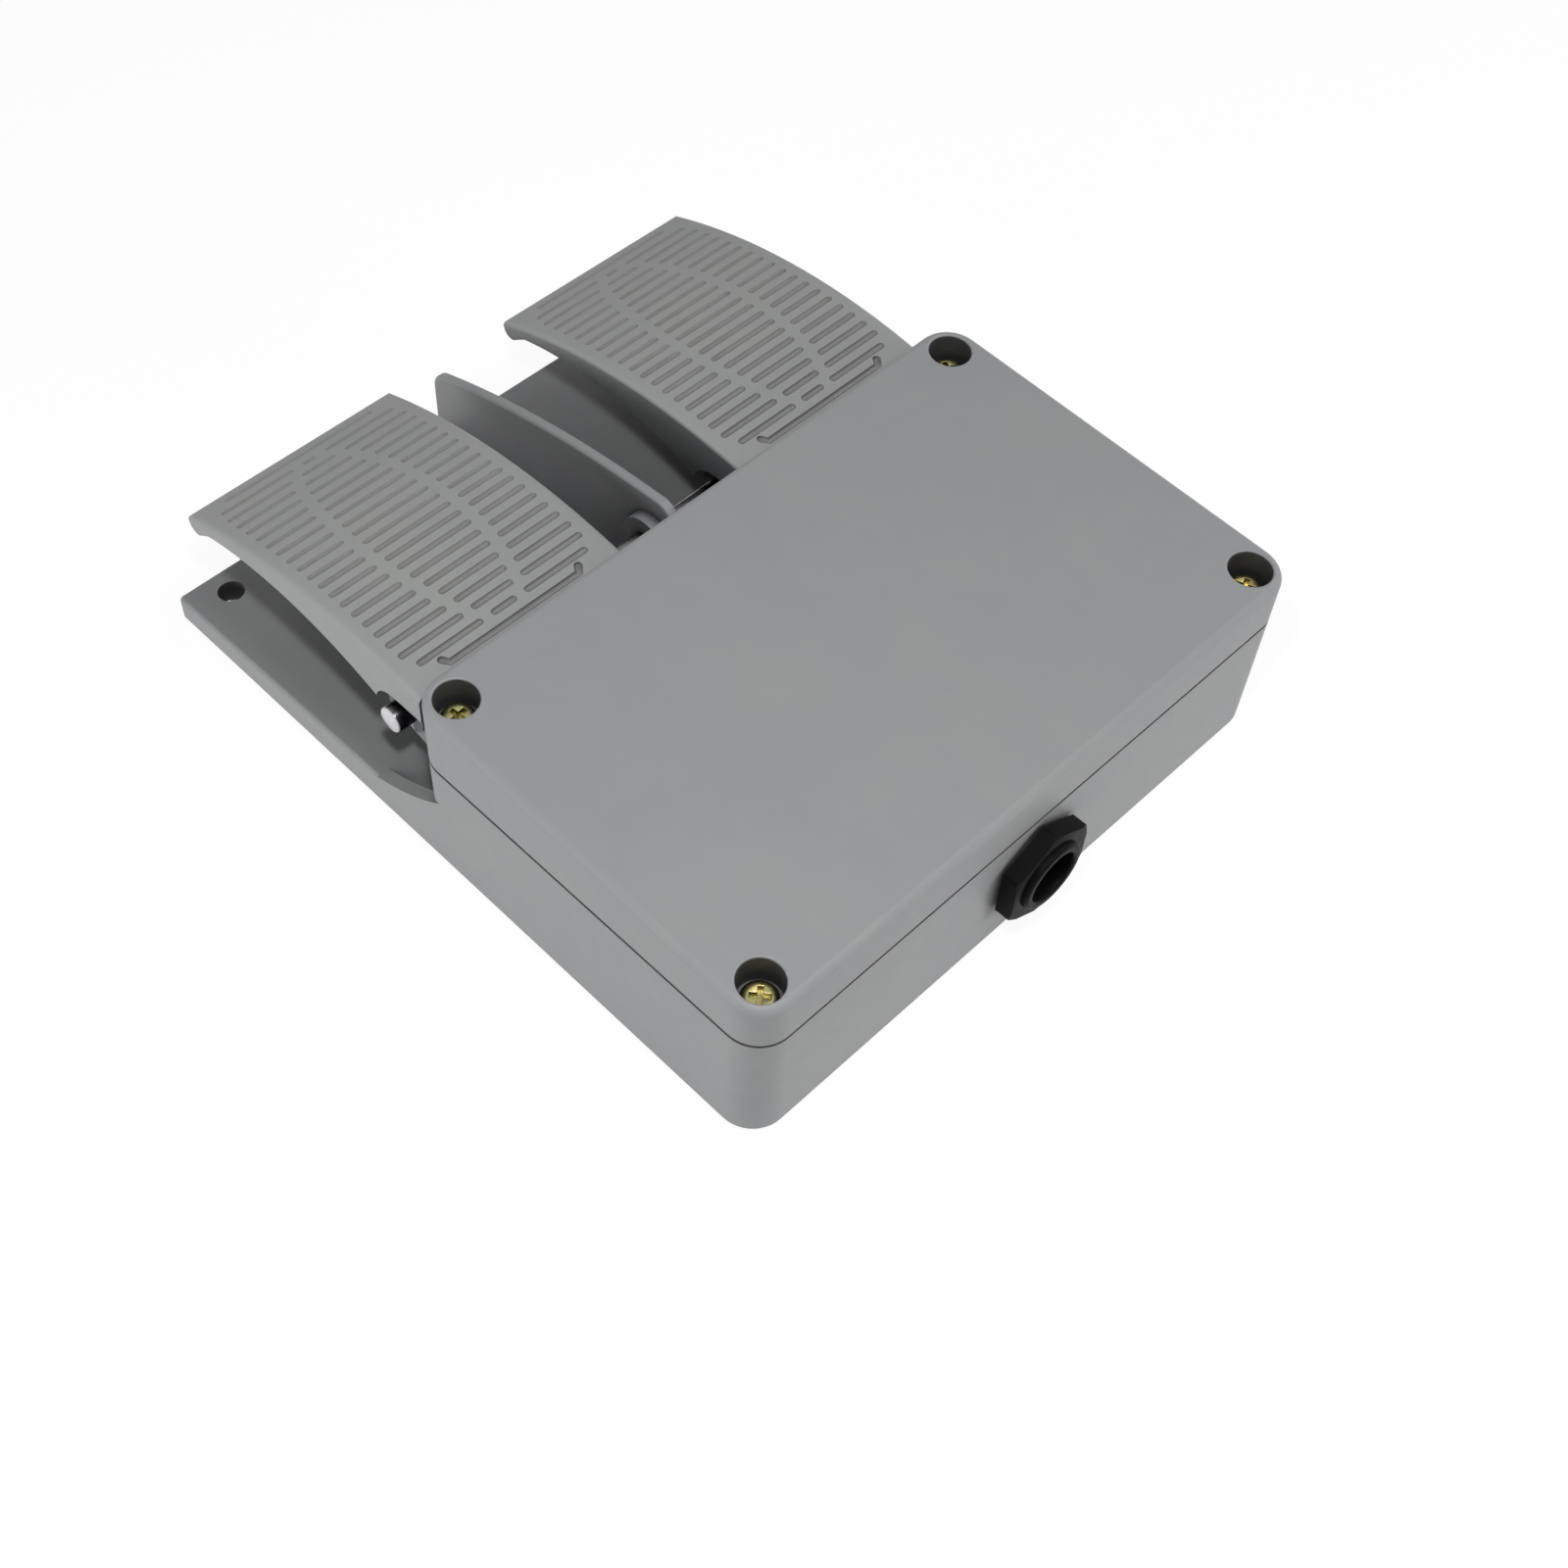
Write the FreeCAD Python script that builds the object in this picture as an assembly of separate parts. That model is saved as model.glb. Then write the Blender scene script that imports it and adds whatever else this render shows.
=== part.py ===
import FreeCAD, Part
import math
import os

# Twin-pedal industrial foot switch. Millimetres, +Z up, the operator stands on the -Y side.
# The origin is the middle of the overall length and width, on the surface that it stands on.

# Cast base: overall size and walls
BODY_WIDTH = 200.0
BOX_DEPTH = 124.0
TRAY_DEPTH = 111.0
SEAM_HEIGHT = 40.0
CORNER_R = 10.0
FRONT_CORNER_R = 1.5
WALL = 3.5
BOX_FLOOR = 5.0
TRAY_FRONT_HEIGHT = 7.5
TRAY_REAR_HEIGHT = 11.0
TRAY_SKIN = 3.5
TRAY_EDGE_R = 1.2

# Side gusset that sweeps up from the tray to the box
GUSSET_WIDTH = 4.0
GUSSET_REACH = 19.0
GUSSET_MID_HEIGHT = 16.8
GUSSET_TOP_HEIGHT = 27.0

# Underside pockets and the non-slip mat
POCKET_COUNT = 4
POCKET_RIB = 4.0
POCKET_MARGIN = 8.0
MAT_SIDE_INSET = 6.0
MAT_FRONT_INSET = 23.0
MAT_REAR_INSET = 6.0
MAT_CORNER_R = 6.0
MAT_THICKNESS = 2.5
MAT_RECESS = 1.0
MAT_GAP = 0.5

# Mounting holes in the tray
MOUNT_HOLE_R = 4.0
MOUNT_SIDE_INSET = 12.5
MOUNT_FRONT_INSET = 9.0

# Divider fin between the pedals
FIN_THICKNESS = 3.2
FIN_TOP_R = 333.0
FIN_REAR_REACH = 7.0
FIN_REAR_HEIGHT = 50.8
FIN_FRONT_HEIGHT = 31.5
FIN_CORNER_R = 6.0
FIN_EDGE_R = 1.0

# Lid
LID_FRONT_HEIGHT = 62.7
LID_REAR_HEIGHT = 55.7
LID_SKIN = 3.5
LID_EDGE_R = 2.2
LID_RIB = 2.5
LID_RIB_DEPTH = 5.0
LID_RIB_SPACING = 60.0
GASKET_THICKNESS = 0.8
GASKET_INSET = 1.0

# Lid screws and their wells
WELL_R = 6.0
WELL_INSET = 9.0
WELL_DEPTH = 9.7
POST_R = 8.0
LID_SCREW_R = 2.0
LID_SCREW_HEAD_R = 4.8
LID_SCREW_HEAD_HEIGHT = 3.1
LID_SCREW_LENGTH = 18.0
SCREW_HOLE_GAP = 0.3
TAPPED_GAP = 0.05
TAPPED_EXTRA = 3.0
CROSS_WIDTH = 1.2
CROSS_LENGTH = 4.6
CROSS_DEPTH = 1.5
HEAD_RIM_SHARE = 0.45
HEAD_TOP_SHARE = 0.6

# Pivot shaft and its lugs; a reach is measured forwards from the front wall of the box
PIVOT_REACH = 15.0
PIVOT_HEIGHT = 35.0
SHAFT_R = 4.0
SHAFT_STUB = 5.5
SHAFT_CHAMFER = 0.8
SHAFT_GROOVE_DEPTH = 1.0
LUG_R = 8.5
LUG_THICKNESS = 6.0
LUG_OFFSET = 28.5
LUG_ROOT_DROP = 14.0
LUG_SEAM_GAP = 1.5
FIN_BOSS_WIDTH = 10.0
SHAFT_FIT = 0.03
CLIP_R = 7.0
CLIP_THICKNESS = 1.0
CLIP_GAP = 0.2
CLIP_SLOT_WIDTH = 5.4
CLIP_LOBE_R = 1.2

# Pedals
PEDAL_WIDTH = 72.0
PEDAL_SIDE_INSET = 6.2
PEDAL_TOP_R = 198.6
PEDAL_CROWN_REACH = 35.2
PEDAL_CROWN_HEIGHT = 54.6
PEDAL_TIP_REACH = 105.0
PEDAL_HEEL_GAP = 3.5
PEDAL_SKIN = 4.0
PEDAL_SIDE = 3.0
PEDAL_EDGE_R = 1.6
LIP_BOTTOM_HEIGHT = 37.2
LIP_SLANT = 1.4
LIP_FLAT = 3.0
LIP_ROOT = 2.0
LIP_THICKNESS = 3.6
LIP_NOSE_R = 3.0
SKIRT_ARC_R = 115.4
SKIRT_CREST_REACH = 64.6
SKIRT_CREST_HEIGHT = 45.0
SKIRT_NOTCH_R = 8.0
RIB_THICKNESS = 5.0
RIB_LIFT = 1.5
HUB_R = 7.5
HUB_WIDTH = 12.0
BUSH_R = 5.5
BUSH_FLANGE_R = 7.0
BUSH_FLANGE = 1.0
SIDE_PLAY = 0.15

# Pedal grooves
GROOVE_PITCH = 4.67
GROOVE_WIDTH = 1.5
GROOVE_DEPTH = 1.1
GROOVE_FIRST_REACH = 7.2
GROOVE_FIRST_HALF = 23.5
GROOVE_FIELD_HALF = 32.0
GROOVE_FIELD_CORNER = 12.0
GROOVE_FIELD_REACH = 102.5
GROOVE_GAP = 2.6
GROOVE_EYE_HALF = 14.8
GROOVE_EYE_LENGTH_HALF = 44.6
GROOVE_EYE_REACH = 53.0

# Actuating finger, push rod and its guide
FINGER_WIDTH = 12.0
FINGER_FACE = 7.5
FINGER_FRONT = 4.5
FINGER_DROP = 21.5
FINGER_HUB_R = 8.0
FINGER_WEB_DROP = 18.0
FINGER_BORE_GAP = 0.4
ROD_DROP = 16.0
ROD_R = 2.5
ROD_DOME_R = 5.0
ROD_GAP = 0.4
GUIDE_R = 4.5
GUIDE_FLANGE_R = 6.5
GUIDE_FLANGE = 1.5
GUIDE_LENGTH = 10.0
GUIDE_FIT = 0.06

# Return spring and its seats
SPRING_REACH = 44.0
SPRING_R = 7.2
SPRING_WIRE_R = 0.9
SPRING_COILS = 6
SPRING_END_COILS = 1
SPRING_STEPS = 16
SPRING_SIDES = 6
SPRING_GAP = 0.3
SEAT_R = 9.5
SEAT_RISE = 1.2
SPIGOT_R = 5.2
SPIGOT_RISE = 3.5

# Snap switch with its lever
SWITCH_LENGTH = 27.8
SWITCH_DEPTH = 15.9
SWITCH_WIDTH = 10.3
SWITCH_INSET = 20.0
SWITCH_HINGE_HEIGHT = 33.0
SWITCH_TOP_MARGIN = 2.5
SWITCH_EDGE = 0.8
LEVER_ANGLE_DEG = 15.0
LEVER_LENGTH = 20.0
LEVER_WIDTH = 4.5
LEVER_THICKNESS = 0.5
LEVER_BARREL_R = 1.1
LEVER_PIN_R = 0.6
LEVER_PIN_FIT = 0.06
LEVER_OFFSET = 1.5
LEVER_SIDE_PLAY = 0.3
EAR_WIDTH = 1.3
PLUNGER_DROP = 5.0
PLUNGER_R = 1.3
PLUNGER_FIT = 0.08
PLUNGER_DEPTH = 3.0
PLUNGER_ROOM = 1.6
PLUNGER_GAP = 0.3
SWITCH_HOLE_R = 1.6
SWITCH_HOLE_SPACING = 22.2
BLADE_WIDTH = 6.3
BLADE_THICKNESS = 0.8
BLADE_LENGTH = 7.0
BLADE_PITCH = 10.0
BLADE_HOLE_R = 0.9
BLADE_HOLE_INSET = 2.5

# Switch bracket
BRACKET_SHEET = 1.5
BRACKET_DEPTH = 22.0
BRACKET_FOOT = 15.0
BRACKET_TOP_MARGIN = 1.5
BRACKET_CORNER = 3.0
PAD_RISE = 2.0
FIXING_R = 1.9
FIXING_SPACING = 12.0
FIXING_HEAD_R = 3.6
FIXING_HEAD = 2.4
FIXING_LENGTH = 5.5
SWITCH_SCREW_R = 1.5
SWITCH_SCREW_HEAD_R = 2.8
SWITCH_SCREW_HEAD = 2.2

# Terminal block and earth screw
BLOCK_WAYS = 6
BLOCK_PITCH = 9.0
BLOCK_DEPTH = 18.0
BLOCK_HEIGHT = 13.0
BLOCK_STEP = 5.0
BLOCK_STEP_DEPTH = 4.5
BLOCK_SETBACK = 50.0
BLOCK_PORT_R = 1.7
BLOCK_SCREW_R = 2.0
BLOCK_SCREW_LENGTH = 4.5
BLOCK_SCREW_WELL = 6.0
BLOCK_SCREW_SLOT = 0.7
EARTH_X = 62.0
EARTH_SETBACK = 40.0
EARTH_BOSS_R = 5.0
EARTH_BOSS_RISE = 4.0
EARTH_SCREW_R = 2.0
EARTH_HEAD_R = 4.0
EARTH_HEAD = 2.8
EARTH_LENGTH = 7.0
EARTH_TAG_R = 4.6
EARTH_TAG = 0.8
EARTH_TAG_LENGTH = 12.0

# Cable entry in the rear wall
ENTRY_HEIGHT = 22.0
ENTRY_HEX_ACROSS_FLATS = 27.5
ENTRY_HEX = 5.0
ENTRY_RING_R = 10.6
ENTRY_RING = 1.7
ENTRY_RING_EDGE = 0.9
ENTRY_BORE_R = 7.9
ENTRY_MOUTH_CHAMFER = 1.0
ENTRY_THREAD_R = 10.0
ENTRY_THREAD_LENGTH = 11.0
ENTRY_HEX_CHAMFER = 1.6
ENTRY_CHAMFER_DEG = 30.0
ENTRY_WALL_GAP = 0.2
ENTRY_NUT = 4.5
ENTRY_SEAL = 0.8
ENTRY_SEAL_R = 12.6

# Places worked out from the driving sizes
ENTRY_REACH = ENTRY_SEAL + ENTRY_HEX + ENTRY_RING
HALF_WIDTH = BODY_WIDTH / 2
BODY_LENGTH = BOX_DEPTH + TRAY_DEPTH
REAR_Y = (BODY_LENGTH - ENTRY_REACH) / 2
FRONT_Y = REAR_Y - BODY_LENGTH
BOX_Y = REAR_Y - BOX_DEPTH
BASE_Z = MAT_THICKNESS - MAT_RECESS
SEAM_Z = BASE_Z + SEAM_HEIGHT
LID_Z = SEAM_Z + GASKET_THICKNESS
FLOOR_Z = BASE_Z + BOX_FLOOR
PIVOT_Y = BOX_Y - PIVOT_REACH
PIVOT_Z = BASE_Z + PIVOT_HEIGHT
PEDAL_CENTRE = HALF_WIDTH - PEDAL_SIDE_INSET - PEDAL_WIDTH / 2
HEEL_Y = BOX_Y - PEDAL_HEEL_GAP
TIP_Y = BOX_Y - PEDAL_TIP_REACH
CROWN_Y = BOX_Y - PEDAL_CROWN_REACH
CROWN_Z = BASE_Z + PEDAL_CROWN_HEIGHT
ROD_Z = PIVOT_Z - ROD_DROP
FINGER_FACE_Y = PIVOT_Y + FINGER_FACE
FIRST_GROOVE_Y = BOX_Y - GROOVE_FIRST_REACH
SPRING_Y = BOX_Y - SPRING_REACH
SWITCH_Y = BOX_Y + SWITCH_INSET
HINGE_Y = SWITCH_Y - LEVER_OFFSET
HINGE_Z = BASE_Z + SWITCH_HINGE_HEIGHT
SWITCH_TOP_Z = HINGE_Z + SWITCH_TOP_MARGIN
SWITCH_BOTTOM_Z = SWITCH_TOP_Z - SWITCH_LENGTH
SWITCH_MID_Z = (SWITCH_TOP_Z + SWITCH_BOTTOM_Z) / 2
SWITCH_MID_Y = SWITCH_Y + SWITCH_DEPTH / 2
ENTRY_Z = BASE_Z + ENTRY_HEIGHT
LEVER_SLOPE = math.tan(math.radians(LEVER_ANGLE_DEG))
SCREW_PLACES = [
    (side * (HALF_WIDTH - WELL_INSET), y)
    for side in (-1, 1)
    for y in (REAR_Y - WELL_INSET, BOX_Y + WELL_INSET)
]
SIDES = {"left": -1, "right": 1}
ALL_X = FreeCAD.Vector(1, 0, 0)
ALL_Y = FreeCAD.Vector(0, 1, 0)
ALL_Z = FreeCAD.Vector(0, 0, 1)

# Allowances for picking edges by where they lie
TOUCH = 0.01
NEAR = 0.1


# Small helpers


def point(x, y, z):
    return FreeCAD.Vector(x, y, z)


def block(low, high):
    size = [b - a for a, b in zip(low, high)]
    return Part.makeBox(size[0], size[1], size[2], point(*low))


def rod(radius, start, length, direction):
    return Part.makeCylinder(radius, length, point(*start), direction)


def tube(outer, inner, start, length, direction):
    return rod(outer, start, length, direction).cut(rod(inner, start, length, direction))


def extrude_x(edges, x_low, x_high):
    wire = Part.Wire(Part.__sortEdges__(edges))
    wire.translate(point(x_low, 0, 0))
    return Part.Face(wire).extrude(point(x_high - x_low, 0, 0))


def side_line(first, second):
    return Part.LineSegment(point(0, *first), point(0, *second)).toShape()


def side_arc(first, middle, last):
    return Part.Arc(point(0, *first), point(0, *middle), point(0, *last)).toShape()


def side_path(points):
    return [side_line(a, b) for a, b in zip(points, points[1:])]


def circle_z(y, centre_y, centre_z, radius):
    return centre_z + math.sqrt(radius ** 2 - (y - centre_y) ** 2)


def plan_prism(x_half, y_low, y_high, z_low, z_high, front_r, rear_r):
    """A prism on a rectangle with one corner radius at the front and one at the rear."""
    corners = [
        (-x_half, y_low, front_r), (x_half, y_low, front_r),
        (x_half, y_high, rear_r), (-x_half, y_high, rear_r),
    ]
    solid = block((-x_half, y_low, z_low), (x_half, y_high, z_high))
    for x, y, radius in corners:
        upright = [
            edge for edge in solid.Edges
            if len(edge.Vertexes) == 2
            and all(abs(v.X - x) < TOUCH and abs(v.Y - y) < TOUCH for v in edge.Vertexes)
        ]
        solid = solid.makeFillet(radius, upright)
    return solid


def fillet_where(shape, radius, test):
    edges = [edge for edge in shape.Edges if test(edge.BoundBox)]
    return shape.makeFillet(radius, edges)


def fuse_all(first, others):
    return first.multiFuse(others).removeSplitter()


def mirrored(shape, side):
    """A shape drawn for the right-hand side, or its mirror image for the left."""
    return shape if side > 0 else shape.mirror(point(0, 0, 0), ALL_X)


def hexagon(across_flats, y_low, height, turn_deg):
    radius = across_flats / math.sqrt(3)
    ring = [
        point(radius * math.cos(math.radians(turn_deg + 60 * k)), y_low,
              ENTRY_Z + radius * math.sin(math.radians(turn_deg + 60 * k)))
        for k in range(7)
    ]
    return Part.Face(Part.makePolygon(ring)).extrude(point(0, height, 0))


def cross_recess(x, y, top_z):
    half_length = CROSS_LENGTH / 2
    half_width = CROSS_WIDTH / 2
    bars = [
        block((x - a, y - b, top_z - CROSS_DEPTH), (x + a, y + b, top_z + CROSS_DEPTH))
        for a, b in ((half_length, half_width), (half_width, half_length))
    ]
    return bars[0].fuse(bars[1])


def pan_screw(x, y, seat_z, radius, length, head_r, head_height):
    """A cross-recessed pan-head screw that points down: its head tapers above a short rim."""
    outline = [
        (0, -length), (radius, -length), (radius, 0), (head_r, 0),
        (head_r, head_height * HEAD_RIM_SHARE), (head_r * HEAD_TOP_SHARE, head_height),
        (0, head_height), (0, -length),
    ]
    profile = Part.makePolygon([point(across, 0, up) for across, up in outline])
    screw = Part.Face(profile).revolve(point(0, 0, 0), ALL_Z, 360)
    screw.translate(point(x, y, seat_z))
    return screw.cut(cross_recess(x, y, seat_z + head_height))


# Heights of the tray, the lid and the pedal at a place along the length


def tray_z(y):
    share = (y - FRONT_Y) / (BOX_Y - FRONT_Y)
    return BASE_Z + TRAY_FRONT_HEIGHT + share * (TRAY_REAR_HEIGHT - TRAY_FRONT_HEIGHT)


def lid_top_z(y):
    share = (y - BOX_Y) / BOX_DEPTH
    return BASE_Z + LID_FRONT_HEIGHT + share * (LID_REAR_HEIGHT - LID_FRONT_HEIGHT)


def screw_seat_z(y):
    return lid_top_z(y) - WELL_DEPTH


def pedal_top_z(y, depth):
    return circle_z(y, CROWN_Y, CROWN_Z - PEDAL_TOP_R, PEDAL_TOP_R - depth)


# Cast base


def tray_slab():
    outline = side_path([
        (BOX_Y + CORNER_R, BASE_Z), (FRONT_Y, BASE_Z), (FRONT_Y, tray_z(FRONT_Y)),
        (BOX_Y + CORNER_R, tray_z(BOX_Y + CORNER_R)), (BOX_Y + CORNER_R, BASE_Z),
    ])
    slab = extrude_x(outline, -HALF_WIDTH, HALF_WIDTH)
    plan = plan_prism(HALF_WIDTH, FRONT_Y, REAR_Y, 0, LID_Z, FRONT_CORNER_R, CORNER_R)
    slab = slab.common(plan)
    return fillet_where(
        slab, TRAY_EDGE_R,
        lambda b: b.YMax < FRONT_Y + FRONT_CORNER_R + NEAR and b.ZMin > BASE_Z + TRAY_EDGE_R,
    )


def tray_pockets():
    span = BODY_WIDTH - 2 * (MAT_SIDE_INSET + POCKET_RIB)
    cell = (span - POCKET_RIB * (POCKET_COUNT - 1)) / POCKET_COUNT
    y_low = FRONT_Y + MAT_FRONT_INSET + POCKET_RIB
    y_high = BOX_Y - POCKET_MARGIN
    cells = []
    for index in range(POCKET_COUNT):
        x_low = -span / 2 + index * (cell + POCKET_RIB)
        outline = side_path([
            (y_low, 0), (y_low, tray_z(y_low) - TRAY_SKIN),
            (y_high, tray_z(y_high) - TRAY_SKIN), (y_high, 0), (y_low, 0),
        ])
        cells.append(extrude_x(outline, x_low, x_low + cell))
    return cells


def mat_outline(z_low, z_high, gap):
    return plan_prism(
        HALF_WIDTH - MAT_SIDE_INSET + gap, FRONT_Y + MAT_FRONT_INSET - gap,
        REAR_Y - MAT_REAR_INSET + gap, z_low, z_high, MAT_CORNER_R, MAT_CORNER_R,
    )


def box_shell():
    outer = plan_prism(HALF_WIDTH, BOX_Y, REAR_Y, BASE_Z, SEAM_Z, CORNER_R, CORNER_R)
    inner = plan_prism(
        HALF_WIDTH - WALL, BOX_Y + WALL, REAR_Y - WALL, FLOOR_Z, SEAM_Z,
        CORNER_R - WALL, CORNER_R - WALL,
    )
    return outer.cut(inner)


def gusset(side):
    start_y = BOX_Y - GUSSET_REACH
    end_y = BOX_Y + CORNER_R
    middle_y = (start_y + end_y) / 2
    start = (start_y, tray_z(start_y))
    end = (end_y, BASE_Z + GUSSET_TOP_HEIGHT)
    edges = [
        side_arc(start, (middle_y, BASE_Z + GUSSET_MID_HEIGHT), end),
        side_line(end, (end_y, BASE_Z)),
        side_line((end_y, BASE_Z), (start_y, BASE_Z)),
        side_line((start_y, BASE_Z), start),
    ]
    return mirrored(extrude_x(edges, HALF_WIDTH - GUSSET_WIDTH, HALF_WIDTH), side)


def lug(x_centre):
    """An arm from the box wall whose round end holds the pivot shaft."""
    x_low = x_centre - LUG_THICKNESS / 2
    low_root = (BOX_Y + WALL / 2, PIVOT_Z - LUG_ROOT_DROP)
    high_root = (BOX_Y + WALL / 2, SEAM_Z - LUG_SEAM_GAP)
    top = (PIVOT_Y, PIVOT_Z + LUG_R)
    bottom = (PIVOT_Y, PIVOT_Z - LUG_R)
    edges = [side_arc(top, (PIVOT_Y - LUG_R, PIVOT_Z), bottom)]
    edges += side_path([bottom, low_root, high_root, top])
    return extrude_x(edges, x_low, x_low + LUG_THICKNESS)


def divider_fin():
    rear_y = BOX_Y - FIN_REAR_REACH
    rear_z = BASE_Z + FIN_REAR_HEIGHT
    front_z = BASE_Z + FIN_FRONT_HEIGHT
    half_chord = math.hypot(rear_y - FRONT_Y, rear_z - front_z) / 2
    rise = FIN_TOP_R - math.sqrt(FIN_TOP_R ** 2 - half_chord ** 2)
    tilt = math.atan2(rear_z - front_z, rear_y - FRONT_Y)
    crest = ((rear_y + FRONT_Y) / 2 - rise * math.sin(tilt),
             (rear_z + front_z) / 2 + rise * math.cos(tilt))
    wall_y = BOX_Y + WALL / 2
    edges = [side_arc((FRONT_Y, front_z), crest, (rear_y, rear_z))]
    edges += side_path([
        (rear_y, rear_z), (rear_y, SEAM_Z - WALL), (wall_y, SEAM_Z - WALL),
        (wall_y, FLOOR_Z), (FRONT_Y, FLOOR_Z), (FRONT_Y, front_z),
    ])
    fin = extrude_x(edges, -FIN_THICKNESS / 2, FIN_THICKNESS / 2)

    def is_top_corner(box):
        across = box.YLength < TOUCH and box.ZLength < TOUCH
        return across and (box.ZMin > SEAM_Z or abs(box.ZMin - front_z) < TOUCH)

    def is_top_edge(box):
        along = box.XLength < TOUCH and box.ZMin > front_z - FIN_CORNER_R - NEAR
        return along and (box.YMax < rear_y - TOUCH or box.ZLength > FIN_CORNER_R / 2)

    fin = fillet_where(fin, FIN_CORNER_R, is_top_corner)
    return fillet_where(fin, FIN_EDGE_R, is_top_edge)


def pads():
    """Raised pads on the box floor under the brackets, the terminal block and the earth screw."""
    shapes = []
    for side in SIDES.values():
        x_low = PEDAL_CENTRE - SWITCH_WIDTH / 2 - BRACKET_FOOT
        foot = block((x_low, SWITCH_MID_Y - BRACKET_DEPTH / 2, BASE_Z + BOX_FLOOR / 2),
                     (x_low + BRACKET_FOOT, SWITCH_MID_Y + BRACKET_DEPTH / 2, FLOOR_Z + PAD_RISE))
        shapes.append(mirrored(foot, side))
    shapes.append(rod(EARTH_BOSS_R, (EARTH_X, REAR_Y - EARTH_SETBACK, BASE_Z + BOX_FLOOR / 2),
                      BOX_FLOOR / 2 + EARTH_BOSS_RISE, ALL_Z))
    return shapes


def spring_seats():
    shapes = []
    for side in SIDES.values():
        centre = (side * PEDAL_CENTRE, SPRING_Y, tray_z(SPRING_Y) - TRAY_SKIN / 2)
        rise = TRAY_SKIN / 2 + SEAT_RISE
        shapes.append(rod(SEAT_R, centre, rise, ALL_Z))
        shapes.append(rod(SPIGOT_R, centre, rise + SPIGOT_RISE, ALL_Z))
    return shapes


def fixing_places(side):
    x = PEDAL_CENTRE - SWITCH_WIDTH / 2 - BRACKET_SHEET - (BRACKET_FOOT - BRACKET_SHEET) / 2
    return [(side * x, SWITCH_MID_Y + way * FIXING_SPACING / 2) for way in (-1, 1)]


def make_base_casting():
    posts = [
        rod(POST_R, (x, y, BASE_Z), SEAM_HEIGHT, ALL_Z) for x, y in SCREW_PLACES
    ]
    outer = plan_prism(HALF_WIDTH, BOX_Y, REAR_Y, BASE_Z, SEAM_Z, CORNER_R, CORNER_R)
    posts = [post.common(outer) for post in posts]
    lugs = [
        lug(side * PEDAL_CENTRE + way * LUG_OFFSET)
        for side in SIDES.values() for way in (-1, 1)
    ]
    fin_boss = rod(LUG_R, (-FIN_BOSS_WIDTH / 2, PIVOT_Y, PIVOT_Z), FIN_BOSS_WIDTH, ALL_X)
    gussets = [gusset(side) for side in SIDES.values()]
    added = [box_shell(), divider_fin(), fin_boss] + posts + lugs + gussets
    casting = fuse_all(tray_slab(), added + pads() + spring_seats())

    cuts = tray_pockets()
    cuts.append(mat_outline(0, BASE_Z + MAT_RECESS, MAT_GAP))
    for side in SIDES.values():
        x = side * (HALF_WIDTH - MOUNT_SIDE_INSET)
        cuts.append(rod(MOUNT_HOLE_R, (x, FRONT_Y + MOUNT_FRONT_INSET, 0), SEAM_Z, ALL_Z))
    for x, y in SCREW_PLACES:
        end_z = screw_seat_z(y) - LID_SCREW_LENGTH - TAPPED_EXTRA
        cuts.append(rod(LID_SCREW_R + TAPPED_GAP, (x, y, end_z), SEAM_Z - end_z, ALL_Z))
    cuts.append(rod(SHAFT_R + SHAFT_FIT, (-HALF_WIDTH, PIVOT_Y, PIVOT_Z), BODY_WIDTH, ALL_X))
    for side in SIDES.values():
        cuts.append(rod(GUIDE_R + TAPPED_GAP, (side * PEDAL_CENTRE, BOX_Y - WALL, ROD_Z), 3 * WALL, ALL_Y))
        end_z = FLOOR_Z + PAD_RISE + BRACKET_SHEET - FIXING_LENGTH
        for x, y in fixing_places(side):
            cuts.append(rod(FIXING_R + TAPPED_GAP, (x, y, end_z), FIXING_LENGTH, ALL_Z))
    cuts.append(rod(EARTH_SCREW_R + TAPPED_GAP,
                    (EARTH_X, REAR_Y - EARTH_SETBACK, FLOOR_Z + EARTH_BOSS_RISE + EARTH_TAG - EARTH_LENGTH),
                    EARTH_LENGTH, ALL_Z))
    cuts.append(rod(ENTRY_THREAD_R + ENTRY_WALL_GAP, (0, REAR_Y - 2 * WALL, ENTRY_Z), 3 * WALL, ALL_Y))
    return casting.cut(Part.makeCompound(cuts)).removeSplitter()


def make_mat():
    return mat_outline(0, MAT_THICKNESS, 0)


# Lid, gasket and screws


def lid_prism(inset, drop, bottom_z):
    """The space under the sloping lid top, taken in by inset and lowered by drop."""
    tall = BASE_Z + LID_FRONT_HEIGHT + LID_SKIN
    plan = plan_prism(HALF_WIDTH - inset, BOX_Y + inset, REAR_Y - inset, bottom_z, tall,
                      CORNER_R - inset, CORNER_R - inset)
    side_view = side_path([
        (BOX_Y, bottom_z), (REAR_Y, bottom_z), (REAR_Y, lid_top_z(REAR_Y) - drop),
        (BOX_Y, lid_top_z(BOX_Y) - drop), (BOX_Y, bottom_z),
    ])
    return plan.common(extrude_x(side_view, -HALF_WIDTH, HALF_WIDTH))


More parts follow.
